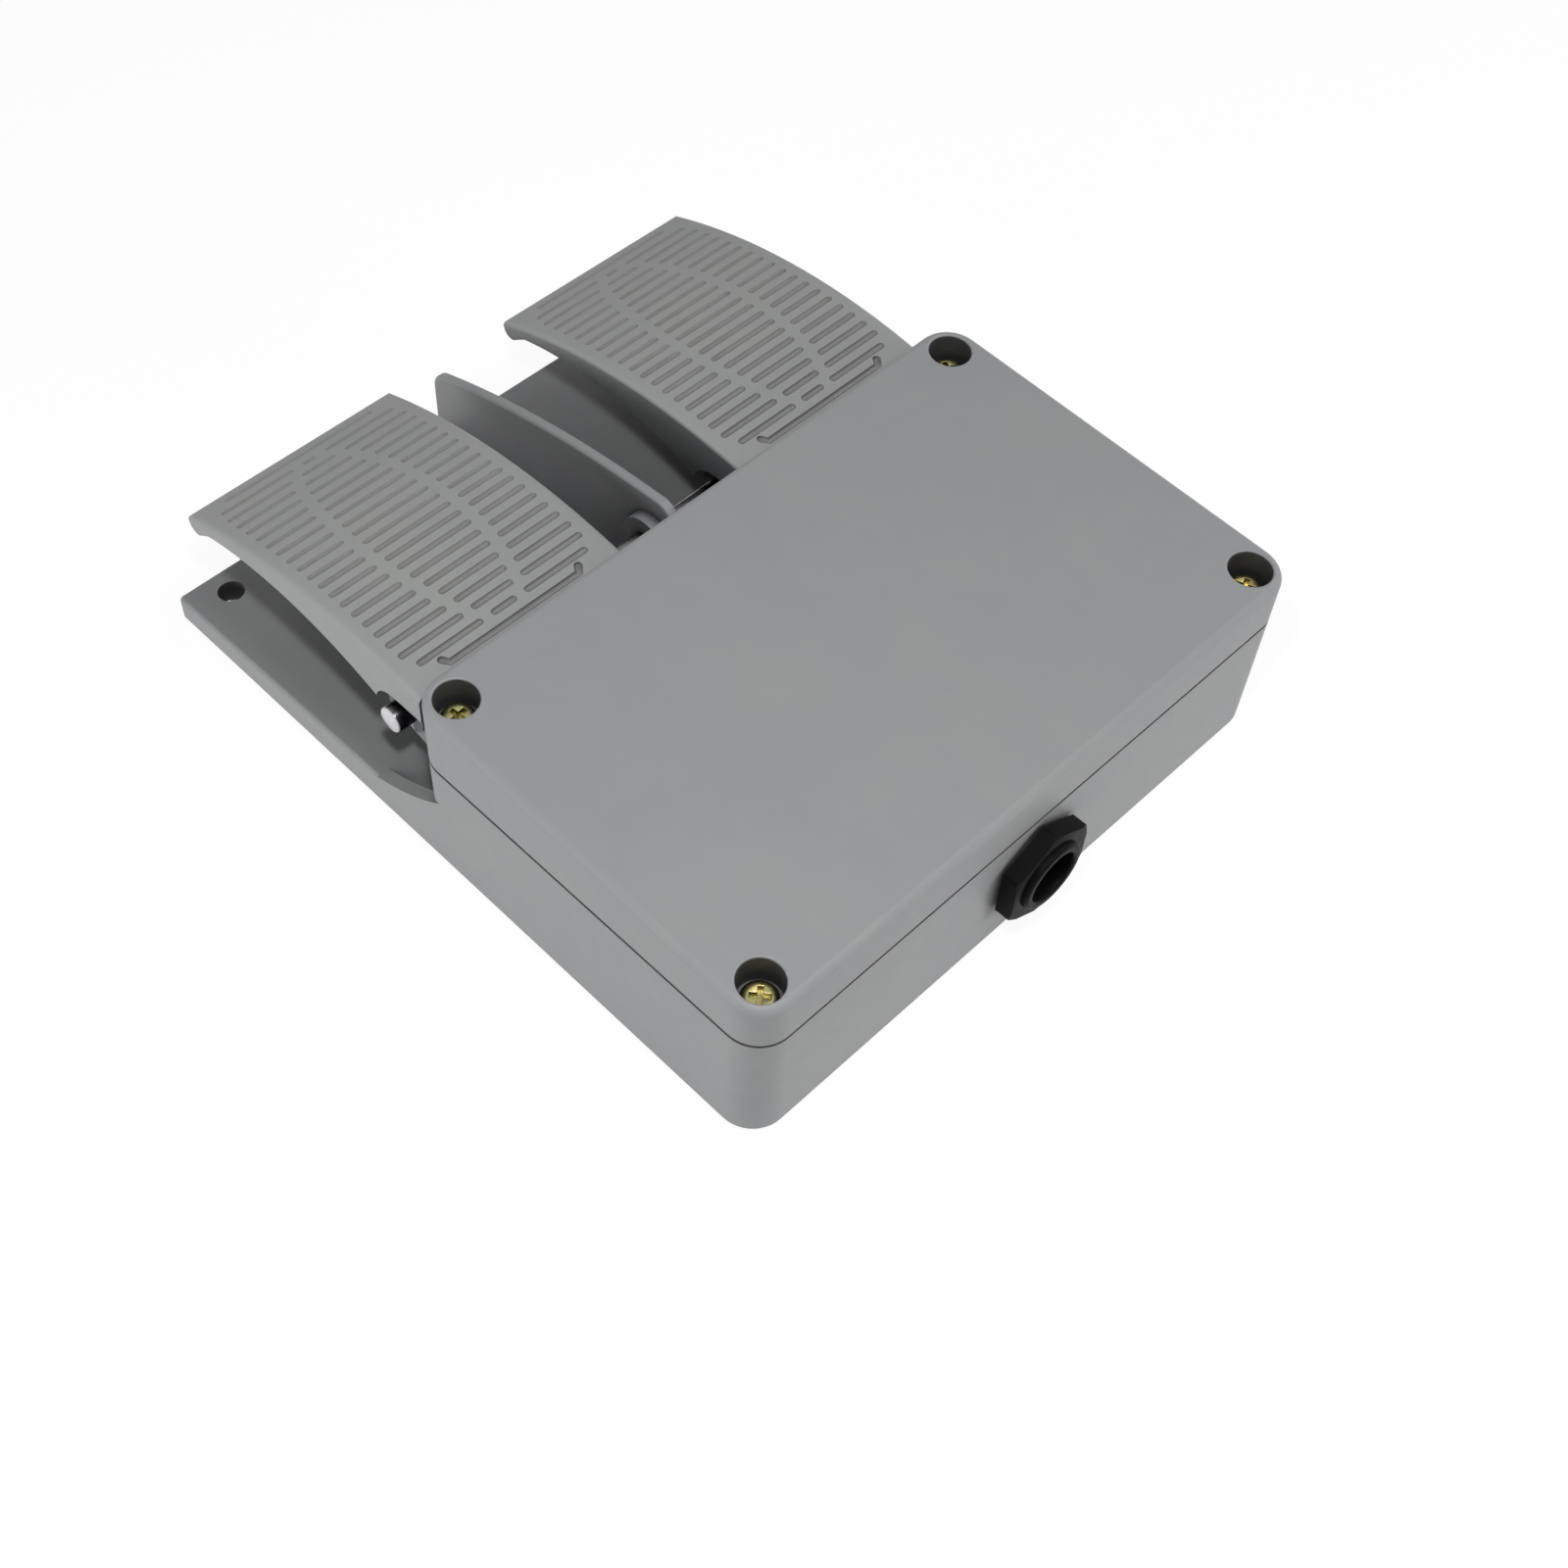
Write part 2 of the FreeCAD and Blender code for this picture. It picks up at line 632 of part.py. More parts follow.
def make_lid():
    outer = lid_prism(0, 0, LID_Z)
    outer = fillet_where(outer, LID_EDGE_R, lambda b: b.ZMin > LID_Z + LID_SKIN)
    inner = lid_prism(WALL, LID_SKIN, LID_Z)
    posts = [rod(POST_R, (x, y, LID_Z), LID_FRONT_HEIGHT, ALL_Z) for x, y in SCREW_PLACES]
    inner = inner.cut(Part.makeCompound(posts))
    for way in (-1, 1):
        x = way * LID_RIB_SPACING / 2
        low_z = lid_top_z(REAR_Y) - LID_SKIN - LID_RIB_DEPTH
        inner = inner.cut(block((x - LID_RIB / 2, BOX_Y, low_z),
                                (x + LID_RIB / 2, REAR_Y, BASE_Z + LID_FRONT_HEIGHT)))
    lid = outer.cut(inner)
    for x, y in SCREW_PLACES:
        seat_z = screw_seat_z(y)
        lid = lid.cut(rod(WELL_R, (x, y, seat_z), LID_FRONT_HEIGHT, ALL_Z))
        lid = lid.cut(rod(LID_SCREW_R + SCREW_HOLE_GAP, (x, y, LID_Z), seat_z - LID_Z, ALL_Z))
    return lid.removeSplitter()


def make_gasket():
    outer = plan_prism(HALF_WIDTH - GASKET_INSET, BOX_Y + GASKET_INSET, REAR_Y - GASKET_INSET,
                       SEAM_Z, LID_Z, CORNER_R - GASKET_INSET, CORNER_R - GASKET_INSET)
    inner = plan_prism(HALF_WIDTH - WALL, BOX_Y + WALL, REAR_Y - WALL, SEAM_Z, LID_Z,
                       CORNER_R - WALL, CORNER_R - WALL)
    posts = [rod(POST_R, (x, y, SEAM_Z), GASKET_THICKNESS, ALL_Z) for x, y in SCREW_PLACES]
    holes = [
        rod(LID_SCREW_R + SCREW_HOLE_GAP, (x, y, SEAM_Z), GASKET_THICKNESS, ALL_Z)
        for x, y in SCREW_PLACES
    ]
    ring = outer.cut(inner.cut(Part.makeCompound(posts)))
    return ring.cut(Part.makeCompound(holes)).removeSplitter()


def make_lid_screws():
    return Part.makeCompound([
        pan_screw(x, y, screw_seat_z(y), LID_SCREW_R, LID_SCREW_LENGTH, LID_SCREW_HEAD_R,
                  LID_SCREW_HEAD_HEIGHT)
        for x, y in SCREW_PLACES
    ])


# Pivot shaft and its clips


def clip_x():
    return PEDAL_CENTRE + LUG_OFFSET + LUG_THICKNESS / 2 + CLIP_GAP


def make_pivot_shaft():
    end_x = clip_x() + CLIP_THICKNESS + SHAFT_STUB
    shaft = rod(SHAFT_R, (-end_x, PIVOT_Y, PIVOT_Z), 2 * end_x, ALL_X)
    shaft = shaft.makeChamfer(SHAFT_CHAMFER, [e for e in shaft.Edges if e.BoundBox.XLength < TOUCH])
    for side in SIDES.values():
        ring = tube(SHAFT_R + SHAFT_GROOVE_DEPTH, SHAFT_R - SHAFT_GROOVE_DEPTH,
                    (clip_x(), PIVOT_Y, PIVOT_Z), CLIP_THICKNESS, ALL_X)
        shaft = shaft.cut(mirrored(ring, side))
    return shaft


def make_shaft_clips():
    """Retaining clips: a flat ring with a mouth at the bottom and two relief lobes."""
    start = (clip_x(), PIVOT_Y, PIVOT_Z)
    disc = rod(CLIP_R, start, CLIP_THICKNESS, ALL_X)
    core = rod(SHAFT_R - SHAFT_GROOVE_DEPTH + TAPPED_GAP, start, CLIP_THICKNESS, ALL_X)
    mouth = block((clip_x(), PIVOT_Y - CLIP_SLOT_WIDTH / 2, PIVOT_Z - CLIP_R),
                  (clip_x() + CLIP_THICKNESS, PIVOT_Y + CLIP_SLOT_WIDTH / 2, PIVOT_Z))
    lobes = [
        rod(CLIP_LOBE_R, (clip_x(), PIVOT_Y + way * (SHAFT_R - SHAFT_GROOVE_DEPTH + CLIP_LOBE_R / 2),
                          PIVOT_Z + CLIP_LOBE_R), CLIP_THICKNESS, ALL_X)
        for way in (-1, 1)
    ]
    clip = disc.cut(Part.makeCompound([core, mouth] + lobes))
    return Part.makeCompound([clip, mirrored(clip, -1)])


# Pedal casting


def pedal_envelope(x_low, x_high, lift, rear_drop):
    """Everything between the pedal's curved top and its skirt line, as a prism along X."""
    crest_y = BOX_Y - SKIRT_CREST_REACH
    crest_z = BASE_Z + SKIRT_CREST_HEIGHT + lift
    centre_z = crest_z - SKIRT_ARC_R
    lip_z = BASE_Z + LIP_BOTTOM_HEIGHT
    root_y = TIP_Y + LIP_SLANT + LIP_FLAT + LIP_ROOT
    root = (root_y, circle_z(root_y, crest_y, centre_z, SKIRT_ARC_R))
    hinge = (PIVOT_Y, circle_z(PIVOT_Y, crest_y, centre_z, SKIRT_ARC_R))
    rear_z = PIVOT_Z + SKIRT_NOTCH_R - rear_drop
    tip = (TIP_Y, pedal_top_z(TIP_Y, 0))
    heel = (HEEL_Y, pedal_top_z(HEEL_Y, 0))
    edges = [
        side_arc(tip, (CROWN_Y, CROWN_Z), heel),
        side_line(heel, (HEEL_Y, rear_z)),
        side_line((HEEL_Y, rear_z), (PIVOT_Y, rear_z)),
        side_line((PIVOT_Y, rear_z), hinge),
        side_arc(hinge, (crest_y, crest_z), root),
        side_line(root, (TIP_Y + LIP_SLANT + LIP_FLAT, lip_z)),
        side_line((TIP_Y + LIP_SLANT + LIP_FLAT, lip_z), (TIP_Y + LIP_SLANT, lip_z)),
        side_line((TIP_Y + LIP_SLANT, lip_z), tip),
    ]
    return extrude_x(edges, x_low, x_high)


def pedal_hollow(x_low, x_high):
    """The space under the pedal plate, behind the lip."""
    front_y = TIP_Y + LIP_THICKNESS
    rear_y = HEEL_Y + PEDAL_SKIN
    low_z = BASE_Z
    first = (front_y, pedal_top_z(front_y, PEDAL_SKIN))
    last = (rear_y, pedal_top_z(rear_y, PEDAL_SKIN))
    edges = [
        side_arc(first, (CROWN_Y, CROWN_Z - PEDAL_SKIN), last),
        side_line(last, (rear_y, low_z)),
        side_line((rear_y, low_z), (front_y, low_z)),
        side_line((front_y, low_z), first),
    ]
    return extrude_x(edges, x_low, x_high)


def field_half_width(y):
    """Half the width of the grooved field at y: a rectangle with rounded corners."""
    from_end = min(FIRST_GROOVE_Y - y, y - (BOX_Y - GROOVE_FIELD_REACH))
    if from_end >= GROOVE_FIELD_CORNER:
        return GROOVE_FIELD_HALF
    short = GROOVE_FIELD_CORNER - from_end
    return GROOVE_FIELD_HALF - GROOVE_FIELD_CORNER + math.sqrt(GROOVE_FIELD_CORNER ** 2 - short ** 2)


def groove_spans(y):
    """The stretches of one groove row, parted where it crosses the long oval."""
    half = max(field_half_width(y), GROOVE_FIRST_HALF)
    share = (y - (BOX_Y - GROOVE_EYE_REACH)) / GROOVE_EYE_LENGTH_HALF
    if abs(share) >= 1:
        return [(-half, half)]
    eye = GROOVE_EYE_HALF * math.sqrt(1 - share ** 2)
    gap = GROOVE_GAP / 2
    spans = [(-half, -eye - gap), (gap - eye, eye - gap), (eye + gap, half)]
    return [(left, right) for left, right in spans if right - left > GROOVE_WIDTH]


def pedal_grooves():
    low_r = PEDAL_TOP_R - GROOVE_DEPTH
    high_r = PEDAL_TOP_R + GROOVE_DEPTH
    centre = (PEDAL_CENTRE - PEDAL_WIDTH / 2, CROWN_Y, CROWN_Z - PEDAL_TOP_R)
    band = tube(high_r, low_r, centre, PEDAL_WIDTH, ALL_X)
    bars = []
    rows = int((GROOVE_FIELD_REACH - GROOVE_FIRST_REACH) / GROOVE_PITCH) + 1
    for row in range(rows):
        y = FIRST_GROOVE_Y - row * GROOVE_PITCH
        for left, right in groove_spans(y):
            bars.append(block((PEDAL_CENTRE + left, y - GROOVE_WIDTH / 2, PIVOT_Z),
                              (PEDAL_CENTRE + right, y + GROOVE_WIDTH / 2, CROWN_Z + GROOVE_DEPTH)))
    return Part.makeCompound(bars).common(band)


def hub_x(way):
    """Lowest X of the hinge hub beside the inner (way -1) or outer (way +1) lug."""
    inner_face = LUG_OFFSET - LUG_THICKNESS / 2 - SIDE_PLAY - BUSH_FLANGE
    return PEDAL_CENTRE + (inner_face - HUB_WIDTH if way > 0 else -inner_face)


def make_pedal(side):
    low_x = PEDAL_CENTRE - PEDAL_WIDTH / 2
    high_x = PEDAL_CENTRE + PEDAL_WIDTH / 2
    shell = pedal_envelope(low_x, high_x, 0, 0)

    def is_top_edge(box):
        tip_edge = box.YMin < TIP_Y + TOUCH and box.YLength < TOUCH and box.ZLength < TOUCH
        return tip_edge or (box.YLength > PEDAL_TIP_REACH / 2 and box.ZMax > CROWN_Z - NEAR)

    def is_nose_edge(box):
        return box.YMax < TIP_Y + LIP_SLANT + TOUCH and box.ZMax < BASE_Z + LIP_BOTTOM_HEIGHT + TOUCH

    shell = fillet_where(shell, LIP_NOSE_R, is_nose_edge)
    shell = fillet_where(shell, PEDAL_EDGE_R, is_top_edge)
    shell = shell.cut(rod(SKIRT_NOTCH_R, (low_x, PIVOT_Y, PIVOT_Z), PEDAL_WIDTH, ALL_X))
    shell = shell.cut(pedal_hollow(low_x + PEDAL_SIDE, high_x - PEDAL_SIDE))

    parts = []
    for way in (-1, 1):
        middle = hub_x(way) + HUB_WIDTH / 2
        parts.append(pedal_envelope(middle - RIB_THICKNESS / 2, middle + RIB_THICKNESS / 2,
                                    RIB_LIFT, SKIRT_NOTCH_R - HUB_R + RIB_THICKNESS))
        parts.append(rod(HUB_R, (hub_x(way), PIVOT_Y, PIVOT_Z), HUB_WIDTH, ALL_X))
    finger_x = PEDAL_CENTRE - FINGER_WIDTH / 2
    parts.append(rod(FINGER_HUB_R, (finger_x, PIVOT_Y, PIVOT_Z), FINGER_WIDTH, ALL_X))
    parts.append(block((finger_x, PIVOT_Y - FINGER_FRONT, PIVOT_Z - FINGER_DROP),
                       (finger_x + FINGER_WIDTH, FINGER_FACE_Y, PIVOT_Z)))
    web = block((finger_x, PIVOT_Y - FINGER_HUB_R, PIVOT_Z),
                (finger_x + FINGER_WIDTH, PIVOT_Y + FINGER_FACE, CROWN_Z - PEDAL_SKIN / 2))
    parts.append(web.common(pedal_envelope(finger_x, finger_x + FINGER_WIDTH, 0, FINGER_WEB_DROP)))
    parts.append(rod(SPIGOT_R, (PEDAL_CENTRE, SPRING_Y, CROWN_Z - PEDAL_SKIN - SPIGOT_RISE),
                     SPIGOT_RISE + PEDAL_SKIN / 2, ALL_Z))
    pedal = fuse_all(shell, parts)

    cuts = [rod(SHAFT_R + FINGER_BORE_GAP, (low_x, PIVOT_Y, PIVOT_Z), PEDAL_WIDTH, ALL_X)]
    for way in (-1, 1):
        cuts.append(rod(BUSH_R + TAPPED_GAP / 2, (hub_x(way), PIVOT_Y, PIVOT_Z), HUB_WIDTH, ALL_X))
    pedal = pedal.cut(Part.makeCompound(cuts))
    pedal = pedal.cut(pedal_grooves())
    return mirrored(pedal, side)


def make_bushes(side):
    """Two flanged bushes whose flanges run against the lugs."""
    shapes = []
    for way in (-1, 1):
        bore = rod(SHAFT_R + SHAFT_FIT, (hub_x(way) - BUSH_FLANGE, PIVOT_Y, PIVOT_Z),
                   HUB_WIDTH + 2 * BUSH_FLANGE, ALL_X)
        sleeve = rod(BUSH_R, (hub_x(way), PIVOT_Y, PIVOT_Z), HUB_WIDTH, ALL_X)
        flange_x = hub_x(way) + HUB_WIDTH if way > 0 else hub_x(way) - BUSH_FLANGE
        flange = rod(BUSH_FLANGE_R, (flange_x, PIVOT_Y, PIVOT_Z), BUSH_FLANGE, ALL_X)
        shapes.append(sleeve.fuse(flange).cut(bore).removeSplitter())
    return mirrored(Part.makeCompound(shapes), side)


def coil_height(turns, low_z, high_z):
    """Height of the wire's middle after some turns: close coils at both ends, open ones between."""
    close_pitch = 2 * (SPRING_WIRE_R + TAPPED_GAP)
    close_rise = close_pitch * SPRING_END_COILS
    open_coils = SPRING_COILS - 2 * SPRING_END_COILS
    open_rise = high_z - low_z - 2 * close_rise
    if turns <= SPRING_END_COILS:
        return low_z + turns * close_pitch
    if turns >= SPRING_COILS - SPRING_END_COILS:
        return high_z - (SPRING_COILS - turns) * close_pitch
    return low_z + close_rise + open_rise * (turns - SPRING_END_COILS) / open_coils


def wire_section(turn_deg, height):
    """A plain ring round the wire, upright and facing along the coil."""
    turn = math.radians(turn_deg)
    corners = []
    for index in range(SPRING_SIDES + 1):
        lean = math.radians(360 * index / SPRING_SIDES)
        reach = SPRING_R + SPRING_WIRE_R * math.cos(lean)
        corners.append(point(PEDAL_CENTRE + reach * math.cos(turn), SPRING_Y + reach * math.sin(turn),
                             height + SPRING_WIRE_R * math.sin(lean)))
    return Part.makePolygon(corners)


def make_return_spring(side):
    """A compression spring lofted through plain rings, so that it stays light."""
    low_z = tray_z(SPRING_Y) + SEAT_RISE + SPRING_WIRE_R + TAPPED_GAP
    high_z = pedal_top_z(SPRING_Y - SPRING_R, PEDAL_SKIN) - SPRING_GAP - SPRING_WIRE_R
    rings = []
    for step in range(SPRING_COILS * SPRING_STEPS + 1):
        turns = step / SPRING_STEPS
        rings.append(wire_section(360 * turns, coil_height(turns, low_z, high_z)))
    return mirrored(Part.makeLoft(rings, True, True), side)


# Push rod and its guide


def lever_face_y(drop, toward_rear):
    """Y of the lever leaf's front or rear face at a drop below its hinge."""
    half = LEVER_THICKNESS / 2 / math.cos(math.radians(LEVER_ANGLE_DEG))
    return HINGE_Y - drop * LEVER_SLOPE + (half if toward_rear else -half)


def make_push_rod(side):
    front_y = FINGER_FACE_Y + ROD_GAP
    dome_reach = (ROD_DOME_R + ROD_GAP) / math.cos(math.radians(LEVER_ANGLE_DEG))
    rear_y = lever_face_y(HINGE_Z - ROD_Z, False) - dome_reach + ROD_DOME_R
    body = rod(ROD_R, (PEDAL_CENTRE, front_y, ROD_Z), rear_y - front_y, ALL_Y)
    front_ball = Part.makeSphere(ROD_DOME_R, point(PEDAL_CENTRE, front_y + ROD_DOME_R, ROD_Z))
    rear_ball = Part.makeSphere(ROD_DOME_R, point(PEDAL_CENTRE, rear_y - ROD_DOME_R, ROD_Z))
    middle = rod(ROD_R, (PEDAL_CENTRE, front_y + ROD_DOME_R, ROD_Z),
                 rear_y - front_y - 2 * ROD_DOME_R, ALL_Y)
    ends = body.common(front_ball.fuse(rear_ball))
    return mirrored(middle.fuse(ends).removeSplitter(), side)


def make_rod_guide(side):
    flange = rod(GUIDE_FLANGE_R, (PEDAL_CENTRE, BOX_Y - GUIDE_FLANGE, ROD_Z), GUIDE_FLANGE, ALL_Y)
    sleeve = rod(GUIDE_R, (PEDAL_CENTRE, BOX_Y, ROD_Z), GUIDE_LENGTH, ALL_Y)
    bore = rod(ROD_R + GUIDE_FIT, (PEDAL_CENTRE, BOX_Y - GUIDE_FLANGE, ROD_Z),
               GUIDE_LENGTH + GUIDE_FLANGE, ALL_Y)
    return mirrored(flange.fuse(sleeve).cut(bore).removeSplitter(), side)


# Snap switch


def switch_hole_places():
    return [
        (SWITCH_MID_Y, SWITCH_MID_Z + way * SWITCH_HOLE_SPACING / 2) for way in (-1, 1)
    ]


def make_switch_body(side):
    low_x = PEDAL_CENTRE - SWITCH_WIDTH / 2
    case = block((low_x, SWITCH_Y, SWITCH_BOTTOM_Z),
                 (low_x + SWITCH_WIDTH, SWITCH_Y + SWITCH_DEPTH, SWITCH_TOP_Z))
    long_edges = [e for e in case.Edges if e.BoundBox.XLength > SWITCH_WIDTH / 2]
    case = case.makeChamfer(SWITCH_EDGE, long_edges)
    ear_low = LEVER_WIDTH / 2 + LEVER_SIDE_PLAY
    ears = []
    for way in (-1, 1):
        x = PEDAL_CENTRE + way * (ear_low + EAR_WIDTH / 2) - EAR_WIDTH / 2
        ears.append(block((x, HINGE_Y - LEVER_BARREL_R, HINGE_Z - LEVER_BARREL_R),
                          (x + EAR_WIDTH, SWITCH_Y + EAR_WIDTH, HINGE_Z + LEVER_BARREL_R)))
    pin = rod(LEVER_PIN_R, (PEDAL_CENTRE - ear_low - EAR_WIDTH, HINGE_Y, HINGE_Z),
              2 * (ear_low + EAR_WIDTH), ALL_X)
    case = fuse_all(case, ears + [pin])
    holes = [
        rod(SWITCH_HOLE_R, (low_x, y, z), SWITCH_WIDTH, ALL_X) for y, z in switch_hole_places()
    ]
    holes.append(rod(PLUNGER_R + PLUNGER_FIT, (PEDAL_CENTRE, SWITCH_Y, HINGE_Z - PLUNGER_DROP),
                     PLUNGER_DEPTH + PLUNGER_ROOM, ALL_Y))
    return mirrored(case.cut(Part.makeCompound(holes)), side)


def make_switch_lever(side):
    low_x = PEDAL_CENTRE - LEVER_WIDTH / 2
    leaf = block((low_x, HINGE_Y - LEVER_THICKNESS / 2, HINGE_Z - LEVER_LENGTH),
                 (low_x + LEVER_WIDTH, HINGE_Y + LEVER_THICKNESS / 2, HINGE_Z - LEVER_BARREL_R / 2))
    tip = rod(LEVER_THICKNESS, (low_x, HINGE_Y, HINGE_Z - LEVER_LENGTH), LEVER_WIDTH, ALL_X)
    leaf = leaf.fuse(tip)
    leaf.rotate(point(0, HINGE_Y, HINGE_Z), ALL_X, -LEVER_ANGLE_DEG)
    barrel = rod(LEVER_BARREL_R, (low_x, HINGE_Y, HINGE_Z), LEVER_WIDTH, ALL_X)
    hole = rod(LEVER_PIN_R + LEVER_PIN_FIT, (low_x, HINGE_Y, HINGE_Z), LEVER_WIDTH, ALL_X)
    return mirrored(leaf.fuse(barrel).cut(hole).removeSplitter(), side)


def make_switch_plunger(side):
    tip_y = lever_face_y(PLUNGER_DROP, True) + PLUNGER_GAP
    plunger = rod(PLUNGER_R, (PEDAL_CENTRE, tip_y, HINGE_Z - PLUNGER_DROP),
                  SWITCH_Y + PLUNGER_DEPTH - tip_y, ALL_Y)
    front = [e for e in plunger.Edges if e.BoundBox.YMax < tip_y + TOUCH]
    return mirrored(plunger.makeChamfer(PLUNGER_R / 2, front), side)


def make_switch_blades(side):
    shapes = []
    rear_y = SWITCH_Y + SWITCH_DEPTH
    for step in (-1, 0, 1):
        z = SWITCH_MID_Z + step * BLADE_PITCH
        blade = block((PEDAL_CENTRE - BLADE_WIDTH / 2, rear_y, z - BLADE_THICKNESS / 2),
                      (PEDAL_CENTRE + BLADE_WIDTH / 2, rear_y + BLADE_LENGTH, z + BLADE_THICKNESS / 2))
        hole_y = rear_y + BLADE_LENGTH - BLADE_HOLE_INSET
        hole = rod(BLADE_HOLE_R, (PEDAL_CENTRE, hole_y, z - BLADE_THICKNESS), 2 * BLADE_THICKNESS, ALL_Z)
        shapes.append(blade.cut(hole))
    return mirrored(Part.makeCompound(shapes), side)


def make_switch_bracket(side):
    """An angle of sheet metal: an upright that holds the switch and a foot on the pad."""
    face_x = PEDAL_CENTRE - SWITCH_WIDTH / 2
    low_y = SWITCH_MID_Y - BRACKET_DEPTH / 2
    foot_z = FLOOR_Z + PAD_RISE
    upright = block((face_x - BRACKET_SHEET, low_y, foot_z),
                    (face_x, low_y + BRACKET_DEPTH, SWITCH_TOP_Z + BRACKET_TOP_MARGIN))
    upright = fillet_where(upright, BRACKET_CORNER,
                           lambda b: b.YLength < TOUCH and b.ZLength < TOUCH and b.ZMin > SWITCH_TOP_Z)
    foot = block((face_x - BRACKET_FOOT, low_y, foot_z),
                 (face_x, low_y + BRACKET_DEPTH, foot_z + BRACKET_SHEET))
    bracket = fuse_all(upright, [foot])
    holes = [
        rod(SWITCH_SCREW_R + TAPPED_GAP, (face_x - 2 * BRACKET_SHEET, y, z), 3 * BRACKET_SHEET, ALL_X)
        for y, z in switch_hole_places()
    ]
    holes += [
        rod(FIXING_R + SCREW_HOLE_GAP, (x, y, foot_z), BRACKET_SHEET, ALL_Z)
        for x, y in fixing_places(1)
    ]
    return mirrored(bracket.cut(Part.makeCompound(holes)), side)


def make_bracket_screws():
    seat_z = FLOOR_Z + PAD_RISE + BRACKET_SHEET
    return Part.makeCompound([
        pan_screw(x, y, seat_z, FIXING_R, FIXING_LENGTH, FIXING_HEAD_R, FIXING_HEAD)
        for side in SIDES.values() for x, y in fixing_places(side)
    ])


def make_switch_screws():
    """The screws that clamp each switch to its bracket, with their heads on the outer side."""
    seat_x = PEDAL_CENTRE + SWITCH_WIDTH / 2
    length = SWITCH_WIDTH + BRACKET_SHEET
    shapes = []
    for side in SIDES.values():
        for y, z in switch_hole_places():
            shank = rod(SWITCH_SCREW_R, (seat_x - length, y, z), length, ALL_X)
            head = rod(SWITCH_SCREW_HEAD_R, (seat_x, y, z), SWITCH_SCREW_HEAD, ALL_X)
            rim = [e for e in head.Edges if e.BoundBox.XMin > seat_x + TOUCH and e.BoundBox.XLength < TOUCH]
            head = head.makeChamfer(SWITCH_SCREW_HEAD / 2, rim)
            shapes.append(mirrored(shank.fuse(head).removeSplitter(), side))
    return Part.makeCompound(shapes)


# Terminal block and earth screw


def block_way_x(index):
    return (index - (BLOCK_WAYS - 1) / 2) * BLOCK_PITCH


def make_terminal_block():
    half = BLOCK_WAYS * BLOCK_PITCH / 2
    low_y = REAR_Y - BLOCK_SETBACK - BLOCK_DEPTH / 2
    high_y = low_y + BLOCK_DEPTH
    strip = block((-half, low_y, FLOOR_Z), (half, high_y, FLOOR_Z + BLOCK_HEIGHT))
    cuts = []
    for low, high in ((low_y, low_y + BLOCK_STEP_DEPTH), (high_y - BLOCK_STEP_DEPTH, high_y)):
        cuts.append(block((-half, low, FLOOR_Z + BLOCK_HEIGHT - BLOCK_STEP),
                          (half, high, FLOOR_Z + BLOCK_HEIGHT)))
    for index in range(BLOCK_WAYS):
        x = block_way_x(index)
        port_z = FLOOR_Z + (BLOCK_HEIGHT - BLOCK_STEP) / 2
        cuts.append(rod(BLOCK_PORT_R, (x, low_y, port_z), BLOCK_STEP_DEPTH, ALL_Y))
        cuts.append(rod(BLOCK_PORT_R, (x, high_y - BLOCK_STEP_DEPTH, port_z), BLOCK_STEP_DEPTH, ALL_Y))
        cuts.append(rod(BLOCK_SCREW_R + TAPPED_GAP,
                        (x, REAR_Y - BLOCK_SETBACK, FLOOR_Z + BLOCK_HEIGHT - BLOCK_SCREW_WELL),
                        BLOCK_SCREW_WELL, ALL_Z))
    return strip.cut(Part.makeCompound(cuts))


def make_terminal_screws():
    shapes = []
    for index in range(BLOCK_WAYS):
        x = block_way_x(index)
        y = REAR_Y - BLOCK_SETBACK
        low_z = FLOOR_Z + BLOCK_HEIGHT - BLOCK_SCREW_WELL
        top_z = low_z + BLOCK_SCREW_LENGTH
        screw = rod(BLOCK_SCREW_R, (x, y, low_z), BLOCK_SCREW_LENGTH, ALL_Z)
        slot = block((x - BLOCK_SCREW_R, y - BLOCK_SCREW_SLOT / 2, top_z - BLOCK_SCREW_SLOT),
                     (x + BLOCK_SCREW_R, y + BLOCK_SCREW_SLOT / 2, top_z))
        shapes.append(screw.cut(slot))
    return Part.makeCompound(shapes)


def make_earth_screw():
    seat_z = FLOOR_Z + EARTH_BOSS_RISE + EARTH_TAG
    return pan_screw(EARTH_X, REAR_Y - EARTH_SETBACK, seat_z, EARTH_SCREW_R, EARTH_LENGTH,
                     EARTH_HEAD_R, EARTH_HEAD)


def make_earth_tag():
    low_z = FLOOR_Z + EARTH_BOSS_RISE
    y = REAR_Y - EARTH_SETBACK
    ring = rod(EARTH_TAG_R, (EARTH_X, y, low_z), EARTH_TAG, ALL_Z)
    tail = block((EARTH_X - EARTH_TAG_LENGTH, y - EARTH_TAG_R / 2, low_z),
                 (EARTH_X, y + EARTH_TAG_R / 2, low_z + EARTH_TAG))
    hole = rod(EARTH_SCREW_R + SCREW_HOLE_GAP, (EARTH_X, y, low_z), EARTH_TAG, ALL_Z)
    return ring.fuse(tail).cut(hole).removeSplitter()


# Cable entry


